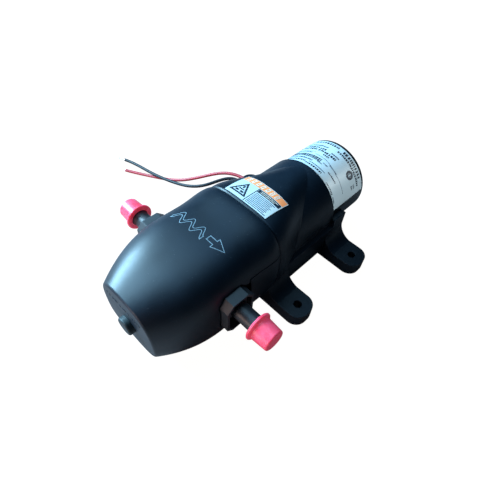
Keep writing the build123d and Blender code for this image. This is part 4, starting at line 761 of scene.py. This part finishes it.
# ---- studio -------------------------------------------------------------------------------------
CAMERA_AZIMUTH, CAMERA_ELEVATION, CAMERA_ROLL = (math.radians(a) for a in (40.857, 51.70, 5.192))
CAMERA_PLACE = (0.10165, -0.13808, 0.20775)
CAMERA_LENS = 27.96
SENSOR = 36.0
CAMERA_NEAR = 0.01
FLOOR_SIZE, FLOOR_Z = 6.0, -0.0002
FLOOR_DARK, FLOOR_LIGHT = (0.34, 0.25, 0.23), (0.38, 0.28, 0.26)
FLOOR_GLOW, FLOOR_GLOW_POWER, FLOOR_GLOW_SHARE = (1.0, 0.995, 0.985, 1.0), 1.25, 0.8
SKY_COLOUR, SKY_POWER = (0.30, 0.62, 1.0, 1.0), 0.05
LABEL_PIECES = ("motor_label", "caution_label", "label_marks", "label_fine_marks", "sticker_band")


def studio_camera():
    """Camera above the outlet side of the nose, looking down and back along the pump."""
    back = Vector((math.sin(CAMERA_AZIMUTH) * math.cos(CAMERA_ELEVATION),
                   -math.cos(CAMERA_AZIMUTH) * math.cos(CAMERA_ELEVATION),
                   math.sin(CAMERA_ELEVATION)))
    level = Vector((math.cos(CAMERA_AZIMUTH), math.sin(CAMERA_AZIMUTH), 0.0))
    upright = back.cross(level)
    right = level * math.cos(CAMERA_ROLL) + upright * math.sin(CAMERA_ROLL)
    up = upright * math.cos(CAMERA_ROLL) - level * math.sin(CAMERA_ROLL)
    data = bpy.data.cameras.new("camera")
    data.sensor_width = SENSOR
    data.lens = CAMERA_LENS
    data.clip_start = CAMERA_NEAR
    camera = bpy.data.objects.new("camera", data)
    bpy.context.scene.collection.objects.link(camera)
    rotation = Matrix((right, up, back)).transposed().to_4x4()
    camera.matrix_world = Matrix.Translation(Vector(CAMERA_PLACE)) @ rotation
    bpy.context.scene.camera = camera
    bpy.context.scene.view_settings.view_transform = "Standard"


def area_light(name, place, target, size, power, colour, receivers=()):
    """A round soft light; where receivers are named, it lights only those pieces."""
    data = bpy.data.lights.new(name, "AREA")
    data.shape = "DISK"
    data.size = size
    data.energy = power
    data.color = colour
    light = bpy.data.objects.new(name, data)
    bpy.context.scene.collection.objects.link(light)
    light.location = place
    light.rotation_euler = (Vector(target) - Vector(place)).to_track_quat("-Z", "Y").to_euler()
    if receivers:
        lit = bpy.data.collections.new(name + "_receivers")
        for receiver in receivers:
            lit.objects.link(bpy.data.objects[receiver])
        light.light_linking.receiver_collection = lit


def studio_floor():
    """Warm matt floor that looks plain pale to the camera."""
    bpy.ops.mesh.primitive_plane_add(size=FLOOR_SIZE, location=(0, 0, FLOOR_Z))
    floor = bpy.context.object
    floor.name = "floor"
    s = Shader("floor")
    cloud = s.noise(s.place(), per_metre=3.0, detail=3.0)
    shade = s.mix(s.ramp(cloud, "Fac", 0.0, 1.0, *DRIFT), "Result", FLOOR_DARK, FLOOR_LIGHT)
    s.tone(shade)
    s.surface.inputs["Roughness"].default_value = 0.9
    glow = s.add("ShaderNodeEmission", Color=FLOOR_GLOW, Strength=FLOOR_GLOW_POWER)
    rays = s.add("ShaderNodeLightPath")
    seen = s.maths("MULTIPLY", rays, "Is Camera Ray", value=FLOOR_GLOW_SHARE)
    blend = s.add("ShaderNodeMixShader")
    s.join(seen, "Value", blend, "Fac")
    s.tree.links.new(s.surface.outputs["BSDF"], blend.inputs[1])
    s.tree.links.new(glow.outputs["Emission"], blend.inputs[2])
    s.join(blend, "Shader", s.output, "Surface")
    floor.data.materials.append(s.material)


def studio_world():
    """Surroundings that light the pump in a dim blue and look white to the camera."""
    world = bpy.data.worlds.new("world")
    world.use_nodes = True
    nodes, links = world.node_tree.nodes, world.node_tree.links
    dim = nodes["Background"]
    dim.inputs["Color"].default_value = SKY_COLOUR
    dim.inputs["Strength"].default_value = SKY_POWER
    white = nodes.new("ShaderNodeBackground")
    white.inputs["Color"].default_value = (1.0, 1.0, 1.0, 1.0)
    rays = nodes.new("ShaderNodeLightPath")
    blend = nodes.new("ShaderNodeMixShader")
    links.new(rays.outputs["Is Camera Ray"], blend.inputs[0])
    links.new(dim.outputs[0], blend.inputs[1])
    links.new(white.outputs[0], blend.inputs[2])
    links.new(blend.outputs[0], nodes["World Output"].inputs["Surface"])
    bpy.context.scene.world = world


def studio_lights():
    """A cool window and sky, a warm glow off the floor, and a fill that only the labels take."""
    area_light("window", place=(-0.82, -0.37, 0.50), target=(0, -0.06, 0.04),
               size=0.36, power=42.0, colour=(0.42, 0.76, 1.0))
    area_light("sky", place=(-0.45, -0.02, 0.95), target=(0, -0.02, 0.03),
               size=1.1, power=8.0, colour=(0.38, 0.72, 1.0))
    area_light("floor_glow", place=(-0.10, -0.80, 0.08), target=(0, -0.08, 0.03),
               size=0.5, power=3.5, colour=(1.0, 0.74, 0.66))
    area_light("label_fill", place=(0.70, 0.55, 0.60), target=(0, 0.04, 0.04),
               size=0.30, power=7.5, colour=(0.94, 1.0, 0.98), receivers=LABEL_PIECES)


studio_camera()
studio_floor()
studio_world()
studio_lights()
